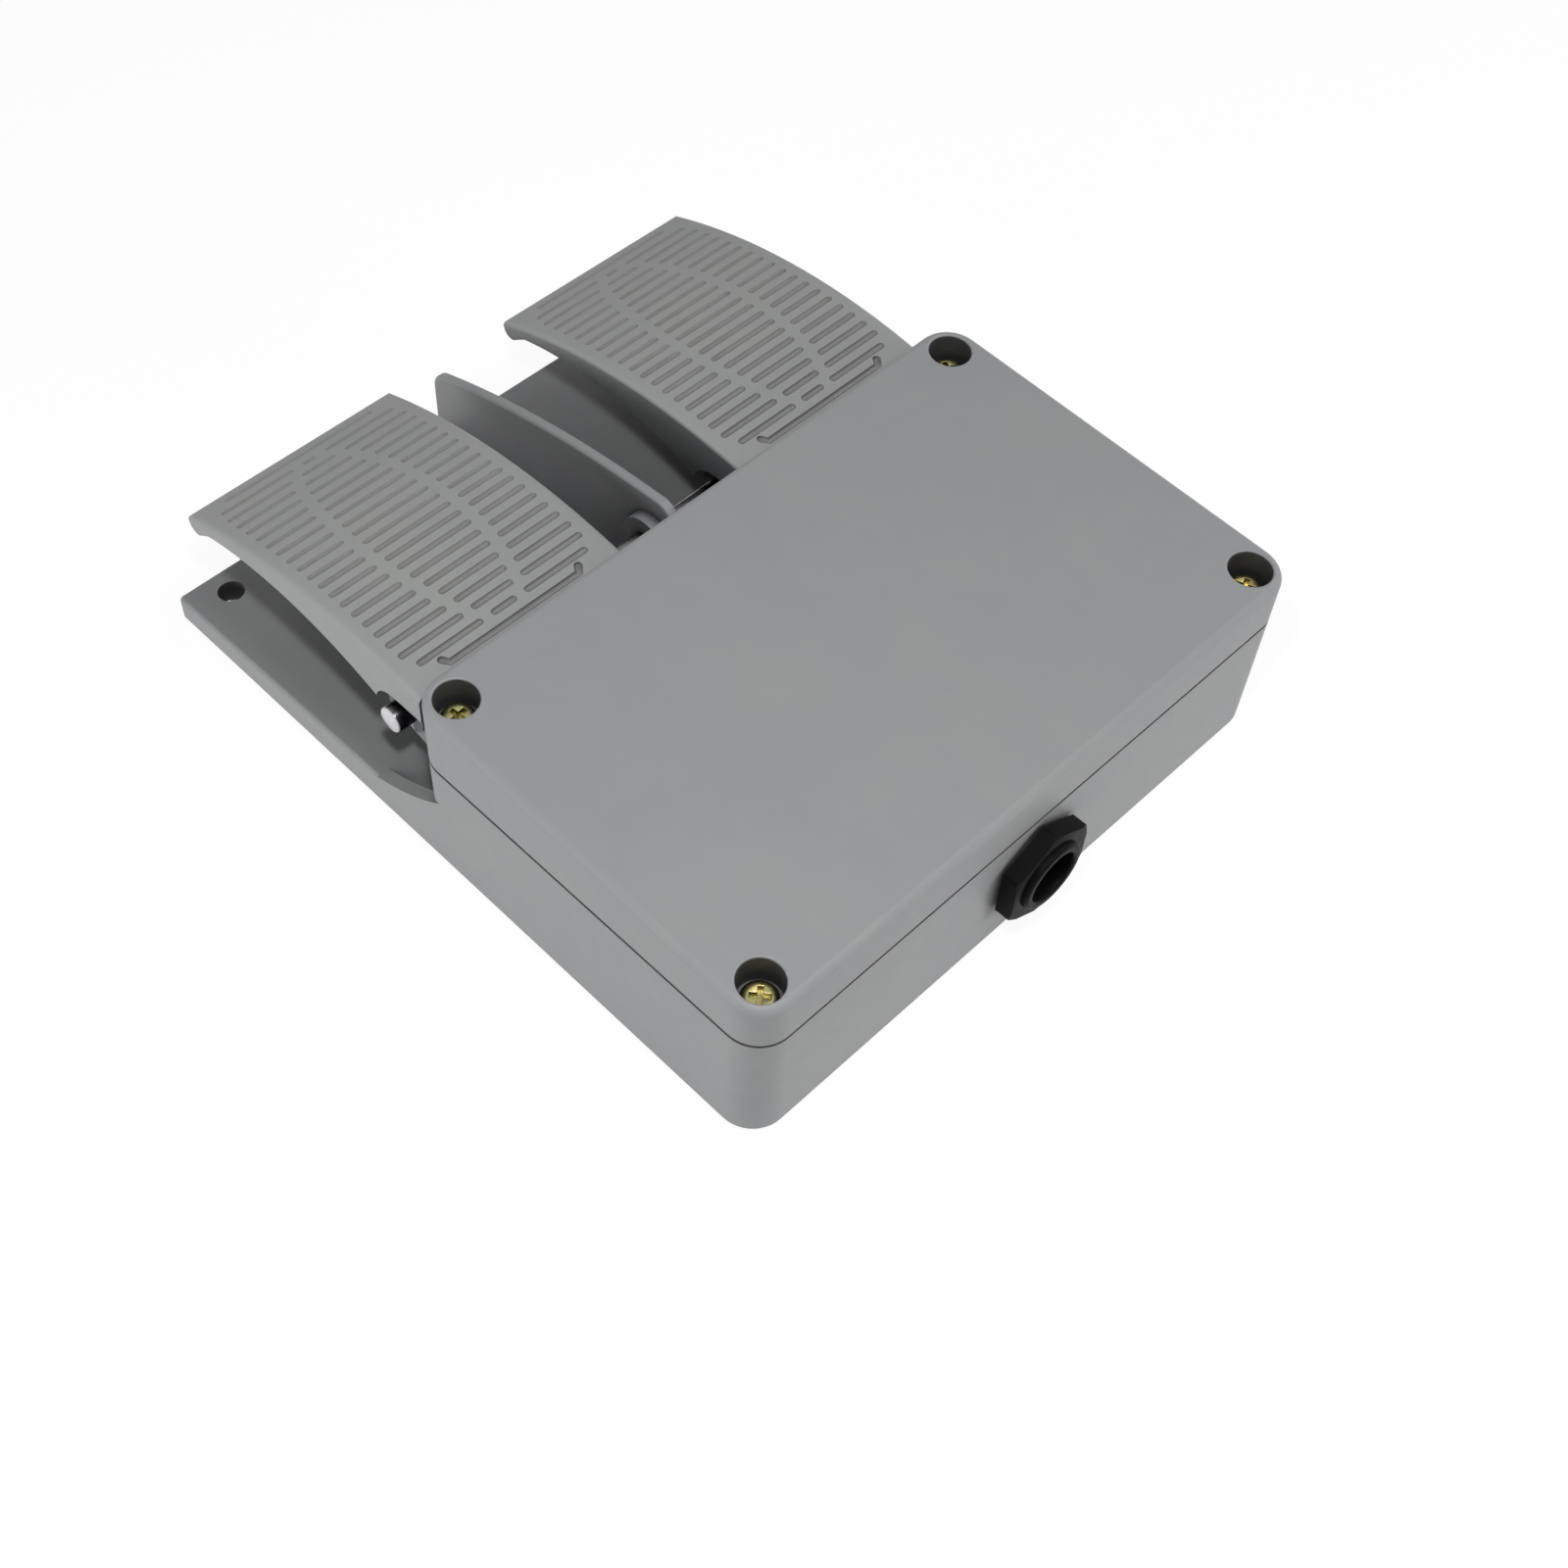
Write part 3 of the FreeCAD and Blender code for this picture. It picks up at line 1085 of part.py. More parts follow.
def make_entry_bush():
    face_y = REAR_Y + ENTRY_SEAL
    hexed = hexagon(ENTRY_HEX_ACROSS_FLATS, face_y, ENTRY_HEX, 90)
    narrow_r = (ENTRY_HEX_ACROSS_FLATS + ENTRY_HEX_CHAMFER) / 2
    wide_r = narrow_r + ENTRY_HEX / math.tan(math.radians(ENTRY_CHAMFER_DEG))
    cone = Part.makeCone(wide_r, narrow_r, ENTRY_HEX, point(0, face_y, ENTRY_Z), ALL_Y)
    hexed = hexed.common(cone)
    ring = rod(ENTRY_RING_R, (0, face_y + ENTRY_HEX, ENTRY_Z), ENTRY_RING, ALL_Y)
    rim = [e for e in ring.Edges if e.BoundBox.YMin > face_y + ENTRY_HEX + TOUCH]
    ring = ring.makeChamfer(ENTRY_RING_EDGE, rim)
    spigot_length = ENTRY_THREAD_LENGTH + ENTRY_SEAL
    spigot = rod(ENTRY_THREAD_R, (0, face_y - spigot_length, ENTRY_Z), spigot_length, ALL_Y)
    total = spigot_length + ENTRY_HEX + ENTRY_RING
    bore = rod(ENTRY_BORE_R, (0, face_y - spigot_length, ENTRY_Z), total, ALL_Y)
    outer_y = face_y + ENTRY_HEX + ENTRY_RING
    mouth = Part.makeCone(ENTRY_BORE_R, ENTRY_BORE_R + ENTRY_MOUTH_CHAMFER, ENTRY_MOUTH_CHAMFER,
                          point(0, outer_y - ENTRY_MOUTH_CHAMFER, ENTRY_Z), ALL_Y)
    return fuse_all(hexed, [ring, spigot]).cut(bore).cut(mouth).removeSplitter()


def make_entry_nut():
    low_y = REAR_Y - WALL - ENTRY_NUT
    nut = hexagon(ENTRY_HEX_ACROSS_FLATS, low_y, ENTRY_NUT, 0)
    return nut.cut(rod(ENTRY_THREAD_R + TAPPED_GAP, (0, low_y, ENTRY_Z), ENTRY_NUT, ALL_Y))


def make_entry_seal():
    return tube(ENTRY_SEAL_R, ENTRY_THREAD_R + ENTRY_WALL_GAP, (0, REAR_Y, ENTRY_Z), ENTRY_SEAL, ALL_Y)


def build_all():
    shapes = {
        "base_casting": make_base_casting(),
        "non_slip_mat": make_mat(),
        "lid": make_lid(),
        "lid_gasket": make_gasket(),
        "lid_screws": make_lid_screws(),
        "pivot_shaft": make_pivot_shaft(),
        "shaft_clips": make_shaft_clips(),
        "bracket_screws": make_bracket_screws(),
        "switch_screws": make_switch_screws(),
        "terminal_block": make_terminal_block(),
        "terminal_screws": make_terminal_screws(),
        "earth_screw": make_earth_screw(),
        "earth_tag": make_earth_tag(),
        "entry_bush": make_entry_bush(),
        "entry_nut": make_entry_nut(),
        "entry_seal": make_entry_seal(),
    }
    makers = {
        "pedal": make_pedal,
        "pedal_bushes": make_bushes,
        "return_spring": make_return_spring,
        "push_rod": make_push_rod,
        "rod_guide": make_rod_guide,
        "switch_body": make_switch_body,
        "switch_lever": make_switch_lever,
        "switch_plunger": make_switch_plunger,
        "switch_blades": make_switch_blades,
        "switch_bracket": make_switch_bracket,
    }
    for name, maker in makers.items():
        for label, side in SIDES.items():
            shapes[f"{name}_{label}"] = maker(side)
    return shapes


os.makedirs("parts", exist_ok=True)
for node, shape in build_all().items():
    shape.exportStep(f"parts/{node}.step")
    print(node, len(shape.Solids), round(shape.Volume, 2), shape.isValid())
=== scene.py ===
"""The looks of a twin-pedal industrial foot switch, dressed on its packed construction model.

Sizes in the classes are millimetres in the frame of the construction model: +Z up, the operator
stands on the -Y side, the cable entry faces +Y. Meshes and lamps are placed in metres.
"""
import logging
import math
from dataclasses import dataclass, field
from enum import Enum
from typing import Callable, Iterable, Sequence

import bmesh
import bpy
from mathutils import Matrix, Vector


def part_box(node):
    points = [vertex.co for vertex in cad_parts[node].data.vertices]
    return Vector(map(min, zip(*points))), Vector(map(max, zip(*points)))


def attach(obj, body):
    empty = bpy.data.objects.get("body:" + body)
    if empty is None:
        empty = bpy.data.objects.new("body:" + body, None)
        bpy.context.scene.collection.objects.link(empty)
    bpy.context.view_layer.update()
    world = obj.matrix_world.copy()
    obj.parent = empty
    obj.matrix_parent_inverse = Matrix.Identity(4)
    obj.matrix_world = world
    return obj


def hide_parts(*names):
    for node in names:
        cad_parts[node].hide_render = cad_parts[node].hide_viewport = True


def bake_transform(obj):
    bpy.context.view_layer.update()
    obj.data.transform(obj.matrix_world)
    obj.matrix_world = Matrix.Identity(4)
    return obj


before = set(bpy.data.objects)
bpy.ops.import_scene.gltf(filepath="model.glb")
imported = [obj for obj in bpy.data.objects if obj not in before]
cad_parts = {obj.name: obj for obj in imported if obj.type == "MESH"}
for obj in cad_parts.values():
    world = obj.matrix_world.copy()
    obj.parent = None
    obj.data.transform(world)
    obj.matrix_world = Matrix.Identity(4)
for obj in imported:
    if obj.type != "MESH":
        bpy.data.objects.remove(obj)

log = logging.getLogger("foot_switch")

MM = 0.001
SMOOTH_ANGLE = math.radians(32)
WELD = 0.00001
FINE_WELD = WELD / 10
TOUCH = 0.01

Point = Sequence[float]
EdgeTest = Callable[[Vector, Vector], bool]


class Axis(Enum):
    """The direction along which a drum lies, with the turn that lays a standing one that way."""

    X = (0.0, math.pi / 2, 0.0)
    Y = (math.pi / 2, 0.0, 0.0)
    Z = (0.0, 0.0, 0.0)


class Side(Enum):
    """The side of the switch, seen by the operator."""

    LEFT = "left"
    RIGHT = "right"


class Cut(Enum):
    """How a tool acts on the piece that it meets."""

    TAKE_AWAY = "DIFFERENCE"
    ADD = "UNION"
    KEEP_COMMON = "INTERSECT"


# Handwork: selecting, adding, cutting and finishing


def select_only(*objects: bpy.types.Object) -> None:
    """Select these objects and nothing else, and make the first one active.

    Args:
        *objects: What to select.
    """
    bpy.ops.object.select_all(action="DESELECT")
    for item in objects:
        item.select_set(True)
    bpy.context.view_layer.objects.active = objects[0] if objects else None


def settle(item: bpy.types.Object, name: str) -> bpy.types.Object:
    """Put an object's place, turn and scale into its mesh and name it.

    Args:
        item: The object, anywhere.
        name: Its new name, which its mesh takes too.

    Returns:
        The same object, at the origin, unturned and unscaled.
    """
    select_only(item)
    bpy.ops.object.transform_apply(location=True, rotation=True, scale=True)
    item.name = name
    item.data.name = name
    return item


def add_block(name: str, low: Point, high: Point) -> bpy.types.Object:
    """Add a box between two corners.

    Args:
        name: The object's name.
        low: The lowest corner, in millimetres.
        high: The highest corner, in millimetres.

    Returns:
        The box.
    """
    select_only()
    centre = [(a + b) / 2 * MM for a, b in zip(low, high)]
    bpy.ops.mesh.primitive_cube_add(size=1.0, location=centre)
    item = bpy.context.active_object
    item.scale = [(b - a) * MM for a, b in zip(low, high)]
    return settle(item, name)


def add_drum(name: str, radius: float, start: Point, length: float, axis: Axis,
             sides: int = 64) -> bpy.types.Object:
    """Add a cylinder that starts at a point and runs along an axis.

    Args:
        name: The object's name.
        radius: Its radius, in millimetres.
        start: The middle of its lower end, in millimetres.
        length: Its length along the axis, in millimetres.
        axis: The direction that it runs in.
        sides: How many sides its round has.

    Returns:
        The cylinder.
    """
    select_only()
    along = {Axis.X: (1, 0, 0), Axis.Y: (0, 1, 0), Axis.Z: (0, 0, 1)}[axis]
    centre = [(a + b * length / 2) * MM for a, b in zip(start, along)]
    bpy.ops.mesh.primitive_cylinder_add(vertices=sides, radius=radius * MM, depth=length * MM,
                                        location=centre, rotation=axis.value)
    return settle(bpy.context.active_object, name)


def apply_modifier(item: bpy.types.Object, kind: str, **settings: object) -> None:
    """Add one modifier to an object and apply it.

    Args:
        item: The object.
        kind: The modifier's type.
        **settings: Values for the modifier's own fields.
    """
    select_only(item)
    modifier = item.modifiers.new(kind.title(), kind)
    for key, value in settings.items():
        setattr(modifier, key, value)
    bpy.ops.object.modifier_apply(modifier=modifier.name)


def combine(item: bpy.types.Object, tools: Iterable[bpy.types.Object], cut: Cut) -> None:
    """Cut a piece with some tools, add them to it, or keep what is common, and remove the tools.

    Args:
        item: The piece.
        tools: The objects that act on it, one after another.
        cut: What they do.
    """
    for tool in tools:
        apply_modifier(item, "BOOLEAN", operation=cut.value, object=tool, solver="EXACT")
        bpy.data.objects.remove(tool)


def join(items: Sequence[bpy.types.Object], name: str) -> bpy.types.Object:
    """Join several meshes into the first one.

    Args:
        items: The objects.
        name: The joined object's name.

    Returns:
        The joined object.
    """
    select_only(*items)
    bpy.ops.object.join()
    joined = bpy.context.active_object
    joined.name = name
    return joined


def all_below(limit: float, slack: float = TOUCH, axis: int = 2) -> EdgeTest:
    """Make a test for edges that lie below a height, or before a place along another axis."""
    return lambda a, b: max(a[axis], b[axis]) < limit + slack


def all_above(limit: float, slack: float = TOUCH, axis: int = 2) -> EdgeTest:
    """Make a test for edges that lie above a height, or past a place along another axis."""
    return lambda a, b: min(a[axis], b[axis]) > limit - slack


def level_in(*axes: int) -> EdgeTest:
    """Make a test for edges that stay at the same place along these axes."""
    return lambda a, b: all(abs(a[axis] - b[axis]) < TOUCH for axis in axes)


def runs_along(axis: int) -> EdgeTest:
    """Make a test for edges that reach more than a millimetre along an axis."""
    return lambda a, b: abs(a[axis] - b[axis]) > 1


def pick_edges(item: bpy.types.Object, test: EdgeTest) -> int:
    """Enter edit mode with just the edges that pass a test selected.

    Args:
        item: The object.
        test: Says of an edge's two ends, in millimetres, whether it is wanted.

    Returns:
        How many edges are selected.
    """
    select_only(item)
    bpy.ops.object.mode_set(mode="EDIT")
    bpy.ops.mesh.select_mode(type="EDGE")
    bpy.ops.mesh.select_all(action="DESELECT")
    mesh = bmesh.from_edit_mesh(item.data)
    wanted = [e for e in mesh.edges if test(e.verts[0].co / MM, e.verts[1].co / MM)]
    for edge in wanted:
        edge.select_set(True)
    bmesh.update_edit_mesh(item.data)
    return len(wanted)


def round_edges(item: bpy.types.Object, radius: float, segments: int, test: EdgeTest) -> None:
    """Bevel the edges that pass a test.

    Args:
        item: The object.
        radius: The width of the bevel, in millimetres.
        segments: Its number of steps.
        test: Says which edges are bevelled, as in pick_edges.
    """
    count = pick_edges(item, test)
    if count:
        bpy.ops.mesh.bevel(offset=radius * MM, segments=segments, profile=0.5, affect="EDGES",
                           clamp_overlap=False)
    bpy.ops.object.mode_set(mode="OBJECT")
    log.debug("%s: %d edges bevelled by %.2f mm", item.name, count, radius)


def slice_off(item: bpy.types.Object, through: Point, outward: Point) -> None:
    """Cut a piece with a plane, drop the outer part and close the cut.

    Args:
        item: The object.
        through: A point of the plane, in millimetres.
        outward: The plane's normal, on the side that is dropped.
    """
    select_only(item)
    bpy.ops.object.mode_set(mode="EDIT")
    bpy.ops.mesh.select_all(action="SELECT")
    bpy.ops.mesh.bisect(plane_co=[value * MM for value in through],
                        plane_no=Vector(outward).normalized(), use_fill=True, clear_outer=True)
    bpy.ops.object.mode_set(mode="OBJECT")


def weld(item: bpy.types.Object, flat_deg: float = 0.05) -> None:
    """Merge doubled vertices and dissolve the edges inside flat faces.

    Args:
        item: The object.
        flat_deg: The angle below which two faces count as one flat face.
    """
    select_only(item)
    bpy.ops.object.mode_set(mode="EDIT")
    bpy.ops.mesh.select_mode(type="VERT")
    bpy.ops.mesh.select_all(action="SELECT")
    bpy.ops.mesh.remove_doubles(threshold=WELD)
    bpy.ops.mesh.dissolve_limited(angle_limit=math.radians(flat_deg))
    bpy.ops.object.mode_set(mode="OBJECT")


def smooth(item: bpy.types.Object) -> None:
    """Shade a finished mesh smooth, apart from its sharp edges."""
    select_only(item)
    bpy.ops.object.shade_smooth_by_angle(angle=SMOOTH_ANGLE)


def steady_normals(item: bpy.types.Object) -> None:
    """Let large flat faces keep their own direction beside their rounded edges."""
    apply_modifier(item, "WEIGHTED_NORMAL", keep_sharp=True)


def face_outwards(item: bpy.types.Object, close_ends: bool = False) -> None:
    """Merge a mesh's doubled vertices and point its faces outwards.

    Args:
        item: The object.
        close_ends: Whether its open ends get a face first.
    """
    select_only(item)
    bpy.ops.object.mode_set(mode="EDIT")
    bpy.ops.mesh.select_mode(type="VERT")
    bpy.ops.mesh.select_all(action="SELECT")
    bpy.ops.mesh.remove_doubles(threshold=FINE_WELD)
    if close_ends:
        bpy.ops.mesh.fill_holes(sides=0)
        bpy.ops.mesh.select_all(action="SELECT")
    bpy.ops.mesh.normals_make_consistent(inside=False)
    bpy.ops.object.mode_set(mode="OBJECT")


def copy_of(item: bpy.types.Object, name: str) -> bpy.types.Object:
    """Copy an object with a mesh of its own."""
    copy = bpy.data.objects.new(name, item.data.copy())
    bpy.context.scene.collection.objects.link(copy)
    return copy


def mirror_copy(item: bpy.types.Object, name: str) -> bpy.types.Object:
    """Copy a piece to the other side of the switch.

    Args:
        item: The piece on one side.
        name: The copy's name.

    Returns:
        The mirrored copy, with its own mesh and its faces outwards.
    """
    copy = copy_of(item, name)
    copy.scale = (-1.0, 1.0, 1.0)
    settle(copy, name)
    face_outwards(copy)
    return copy


def merged_copy(node: str, name: str) -> bpy.types.Object:
    """Copy a node of the construction model as one welded mesh of flat faces.

    Args:
        node: The node's name.
        name: The copy's name.

    Returns:
        The copy, which rides on nothing yet.
    """
    copy = copy_of(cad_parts[node], name)
    select_only(copy)
    bpy.ops.mesh.customdata_custom_splitnormals_clear()
    weld(copy)
    return copy


def hand_over(item: bpy.types.Object, body: str, nodes: Sequence[str],
              material: bpy.types.Material) -> None:
    """Give a finished piece its finish, its body and the nodes that it stands for.

    Args:
        item: The piece.
        body: The body that it rides on.
        nodes: The nodes of the construction model that it replaces.
        material: Its material.
    """
    item.data.materials.clear()
    item.data.materials.append(material)
    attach(item, body)
    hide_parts(*nodes)
    log.info("%s: %d faces on body %s", item.name, len(item.data.polygons), body)


def circle_height(y: float, centre_y: float, centre_z: float, radius: float) -> float:
    """Height of a circle's upper half at a place along the length, in millimetres."""
    return centre_z + math.sqrt(radius ** 2 - (y - centre_y) ** 2)


# Shader bench and shared effects


class Bench:
    """Adds nodes to one tree and joins them."""

    def __init__(self, tree: bpy.types.NodeTree) -> None:
        """Work on a tree."""
        self.tree = tree

    def add(self, kind: str, **settings: object) -> bpy.types.Node:
        """Add a node.

        Args:
            kind: The node's type, without the leading ShaderNode.
            **settings: Fields of the node, or the values of its inputs by name, where spaces
                are written as underscores.

        Returns:
            The node.
        """
        node = self.tree.nodes.new("ShaderNode" + kind)
        for key, value in settings.items():
            socket = node.inputs.get(key.replace("_", " "))
            if socket is None or hasattr(node, key):
                setattr(node, key, value)
            elif isinstance(value, bpy.types.NodeSocket):
                self.tree.links.new(value, socket)
            else:
                socket.default_value = value
        return node

    def math(self, operation: str, first: object, second: object = 0.0) -> bpy.types.NodeSocket:
        """Join two values by a sum, a product or the like.

        Args:
            operation: The operation's name.
            first: A socket or a number.
            second: A socket or a number.

        Returns:
            The result's socket.
        """
        node = self.tree.nodes.new("ShaderNodeMath")
        node.operation = operation
        for index, value in enumerate((first, second)):
            if isinstance(value, bpy.types.NodeSocket):
                self.tree.links.new(value, node.inputs[index])
            else:
                node.inputs[index].default_value = value
        return node.outputs[0]

    def spread(self, value: bpy.types.NodeSocket, low: float, high: float, to_low: float = 0.0,
               to_high: float = 1.0) -> bpy.types.NodeSocket:
        """Stretch a range of values to another, clamped.

        Args:
            value: The value's socket.
            low: The value that becomes to_low.
            high: The value that becomes to_high.
            to_low: The first end of the new range.
            to_high: The other end of the new range.

        Returns:
            The result's socket.
        """
        node = self.add("MapRange", From_Min=low, From_Max=high, To_Min=to_low, To_Max=to_high)
        self.tree.links.new(value, node.inputs["Value"])
        return node.outputs["Result"]

    def blend(self, share: object, first: object, second: object) -> bpy.types.NodeSocket:
        """Mix two colours.

        Args:
            share: How much of the second, a socket or a number.
            first: A socket or a colour.
            second: A socket or a colour.

        Returns:
            The mixed colour's socket.
        """
        node = self.tree.nodes.new("ShaderNodeMix")
        node.data_type = "RGBA"
        for index, value in ((0, share), (6, first), (7, second)):
            if isinstance(value, bpy.types.NodeSocket):
                self.tree.links.new(value, node.inputs[index])
            else:
                node.inputs[index].default_value = value
        return node.outputs[2]


class GroupBench(Bench):
    """A bench on a new shader node group with number inputs and one number output."""

    def __init__(self, name: str, output: str, inputs: dict[str, float]) -> None:
        """Start the group.

        Args:
            name: The group's name.
            output: The name of what it puts out.
            inputs: The names of its inputs, with their defaults.
        """
        super().__init__(bpy.data.node_groups.new(name, "ShaderNodeTree"))
        sockets = self.tree.interface
        for label, value in inputs.items():
            socket = sockets.new_socket(name=label, in_out="INPUT", socket_type="NodeSocketFloat")
            socket.default_value = value
        sockets.new_socket(name=output, in_out="OUTPUT", socket_type="NodeSocketFloat")
        entry = self.tree.nodes.new("NodeGroupInput")
        self.given: bpy.types.bpy_prop_collection = entry.outputs
        self.leave: bpy.types.Node = self.tree.nodes.new("NodeGroupOutput")

    def place(self) -> bpy.types.NodeSocket:
        """The place on the object, which moves and turns with it."""
        return self.add("TexCoord").outputs["Object"]

    def put_out(self, value: bpy.types.NodeSocket) -> bpy.types.ShaderNodeTree:
        """Join the result to the group's output and hand the group back."""
        self.tree.links.new(value, self.leave.inputs[0])
        return self.tree


def make_mottle_group() -> bpy.types.ShaderNodeTree:
    """Build the slow, cloudy unevenness that paint, plating and mouldings show.

    Returns:
        The group, with a Mask from 0 to 1.
    """
    bench = GroupBench("cloudy_mottle", "Mask", {"Size": 60.0, "Contrast": 1.0})
    fine_per_wide, wide_share, swing = 5.3, 0.7, 0.25
    place = bench.place()
    wide = bench.add("TexNoise", Vector=place, Scale=bench.given["Size"], Detail=3.0, Roughness=0.55)
    fine_size = bench.math("MULTIPLY", bench.given["Size"], fine_per_wide)
    fine = bench.add("TexNoise", Vector=place, Scale=fine_size, Detail=2.0, Roughness=0.5)
    both = bench.math("ADD", bench.math("MULTIPLY", wide.outputs["Fac"], wide_share),
                      bench.math("MULTIPLY", fine.outputs["Fac"], 1.0 - wide_share))
    centred = bench.math("MULTIPLY", bench.math("SUBTRACT", both, 0.5), bench.given["Contrast"])
    return bench.put_out(bench.spread(centred, -swing, swing))


def make_grain_group() -> bpy.types.ShaderNodeTree:
    """Build the fine relief of a sprayed or moulded skin.

    Returns:
        The group, with a Height from 0 to 1.
    """
    bench = GroupBench("skin_grain", "Height", {"Size": 1400.0, "Pits": 0.2})
    pits_per_grain, pit_reach = 0.45, 0.22
    place = bench.place()
    skin = bench.add("TexNoise", Vector=place, Scale=bench.given["Size"], Detail=2.0, Roughness=0.6)
    pit_size = bench.math("MULTIPLY", bench.given["Size"], pits_per_grain)
    cells = bench.add("TexVoronoi", Vector=place, Scale=pit_size)
    pits = bench.spread(cells.outputs["Distance"], 0.0, pit_reach, 1.0, 0.0)
    dips = bench.math("MULTIPLY", pits, bench.given["Pits"])
    return bench.put_out(bench.math("SUBTRACT", skin.outputs["Fac"], dips))


def make_edge_group() -> bpy.types.ShaderNodeTree:
    """Build the mask of edges, where a finish is thinner or rubbed.

    Returns:
        The group, with a Mask from 0 to 1.
    """
    bench = GroupBench("rubbed_edges", "Mask", {"Reach": 0.0008, "Breakup": 220.0})
    flat, turned = 0.995, 0.9
    rounded = bench.add("Bevel", samples=4, Radius=bench.given["Reach"])
    face = bench.add("NewGeometry")
    turn = bench.add("VectorMath", operation="DOT_PRODUCT")
    bench.tree.links.new(rounded.outputs["Normal"], turn.inputs[0])
    bench.tree.links.new(face.outputs["Normal"], turn.inputs[1])
    edge = bench.spread(turn.outputs["Value"], flat, turned)
    patches = bench.add("TexNoise", Vector=bench.place(), Scale=bench.given["Breakup"], Detail=3.0)
    return bench.put_out(bench.math("MULTIPLY", edge, bench.spread(patches.outputs["Fac"], 0.35, 0.65)))


def make_recess_shade_group() -> bpy.types.ShaderNodeTree:
    """Build the mask of narrow recesses, where painted shade darkens the colour.

    Returns:
        The group, with a Mask from 0 to 1.
    """
    bench = GroupBench("painted_shade_in_recesses", "Mask", {"Reach": 0.0025, "Depth": 0.6, "Sharpness": 3.0})
    open_surface, patch_size, least_shade = 0.96, 90.0, 0.8
    # Painted shade: the more the surface is shut in within a few millimetres, the darker its colour.
    cover = bench.add("AmbientOcclusion", samples=8, Distance=bench.given["Reach"])
    closed = bench.math("SUBTRACT", open_surface, cover.outputs["AO"])
    strong = bench.spread(bench.math("MULTIPLY", closed, bench.given["Sharpness"]), 0.0, 1.0)
    patches = bench.add("TexNoise", Vector=bench.place(), Scale=patch_size, Detail=3.0)
    uneven = bench.spread(patches.outputs["Fac"], 0.3, 0.7, least_shade, 1.0)
    return bench.put_out(bench.math("MULTIPLY", bench.math("MULTIPLY", strong, uneven),
                                    bench.given["Depth"]))


def make_shade_group(own: bool) -> bpy.types.ShaderNodeTree:
    """Build the mask of painted shade in deep hollows, weaker on level faces.

    Args:
        own: Whether only the piece itself closes a hollow, or its neighbours do too.

    Returns:
        The group, with a Mask from 0 to 1.
    """
    bench = GroupBench("painted_shade_own" if own else "painted_shade_all", "Mask", {"Depth": 0.6, "Upright": 1.0})
    # Painted shade: darker where the surface is shut in within 60 mm, and less so on level faces.
    reach, first_closed, last_closed, level_spared = 0.06, 0.14, 0.5, 0.68
    cover = bench.add("AmbientOcclusion", samples=8, only_local=own, Distance=reach)
    closed = bench.math("SUBTRACT", 1.0, cover.outputs["AO"])
    strong = bench.math("MULTIPLY", bench.spread(closed, first_closed, last_closed),
                        bench.given["Depth"])
    face = bench.add("SeparateXYZ", Vector=bench.add("NewGeometry").outputs["Normal"])
    level = bench.spread(bench.math("ABSOLUTE", face.outputs["Z"]), 0.2, 0.9)
    spared = bench.math("MULTIPLY", bench.math("MULTIPLY", level, bench.given["Upright"]),
                        level_spared)
    return bench.put_out(bench.math("MULTIPLY", strong, bench.math("SUBTRACT", 1.0, spared)))


def make_scratch_group() -> bpy.types.ShaderNodeTree:
    """Build fine drawn lines along one direction, as turning or rolling leaves them.

    Returns:
        The group, with a Mask from 0 to 1.
    """
    bench = GroupBench("drawn_lines", "Mask",
                       {"Along X": 60.0, "Along Y": 2500.0, "Along Z": 2500.0})
    parts = bench.add("SeparateXYZ", Vector=bench.place())
    squeezed = bench.add("CombineXYZ")
    for label in "XYZ":
        stretched = bench.math("MULTIPLY", parts.outputs[label], bench.given["Along " + label])
        bench.tree.links.new(stretched, squeezed.inputs[label])
    lines = bench.add("TexNoise", Vector=squeezed.outputs["Vector"], Scale=1.0, Detail=2.0)
    return bench.put_out(bench.spread(lines.outputs["Fac"], 0.3, 0.7))


@dataclass
class Effects:
    """The shared effects, built once and placed in each material with its own values."""

    mottle: bpy.types.ShaderNodeTree = field(default_factory=make_mottle_group)
    grain: bpy.types.ShaderNodeTree = field(default_factory=make_grain_group)
    edges: bpy.types.ShaderNodeTree = field(default_factory=make_edge_group)
    lines: bpy.types.ShaderNodeTree = field(default_factory=make_scratch_group)
    # Masks of painted shade in narrow recesses and in deep hollows.
    painted_recess_shade: bpy.types.ShaderNodeTree = field(default_factory=make_recess_shade_group)
    painted_shade_own: bpy.types.ShaderNodeTree = field(default_factory=lambda: make_shade_group(True))
    painted_shade_all: bpy.types.ShaderNodeTree = field(default_factory=lambda: make_shade_group(False))

    def place(self, bench: Bench, group: bpy.types.ShaderNodeTree,
              **values: float) -> bpy.types.NodeSocket:
        """Place one effect in a material.

        Args:
            bench: The material's bench.
            group: The effect.
            **values: Its inputs by name, with underscores for spaces.

        Returns:
            What the effect puts out.
        """
        node = bench.tree.nodes.new("ShaderNodeGroup")
        node.node_tree = group
        for key, value in values.items():
            node.inputs[key.replace("_", " ")].default_value = value
        return node.outputs[0]


# Finishes


Colour = tuple[float, float, float, float]
# Colours of painted shade: near black for deep hollows, and a pale tint that a tone darkens for narrow
# recesses.
PAINTED_SHADE: Colour = (0.020, 0.021, 0.025, 1.0)
RECESS_SHADE_COLOUR: Colour = (1.0, 1.0, 0.95, 1.0)


def shade(colour: Colour, factor: float) -> Colour:
    """A colour made darker or lighter by a factor."""
    return (colour[0] * factor, colour[1] * factor, colour[2] * factor, 1.0)


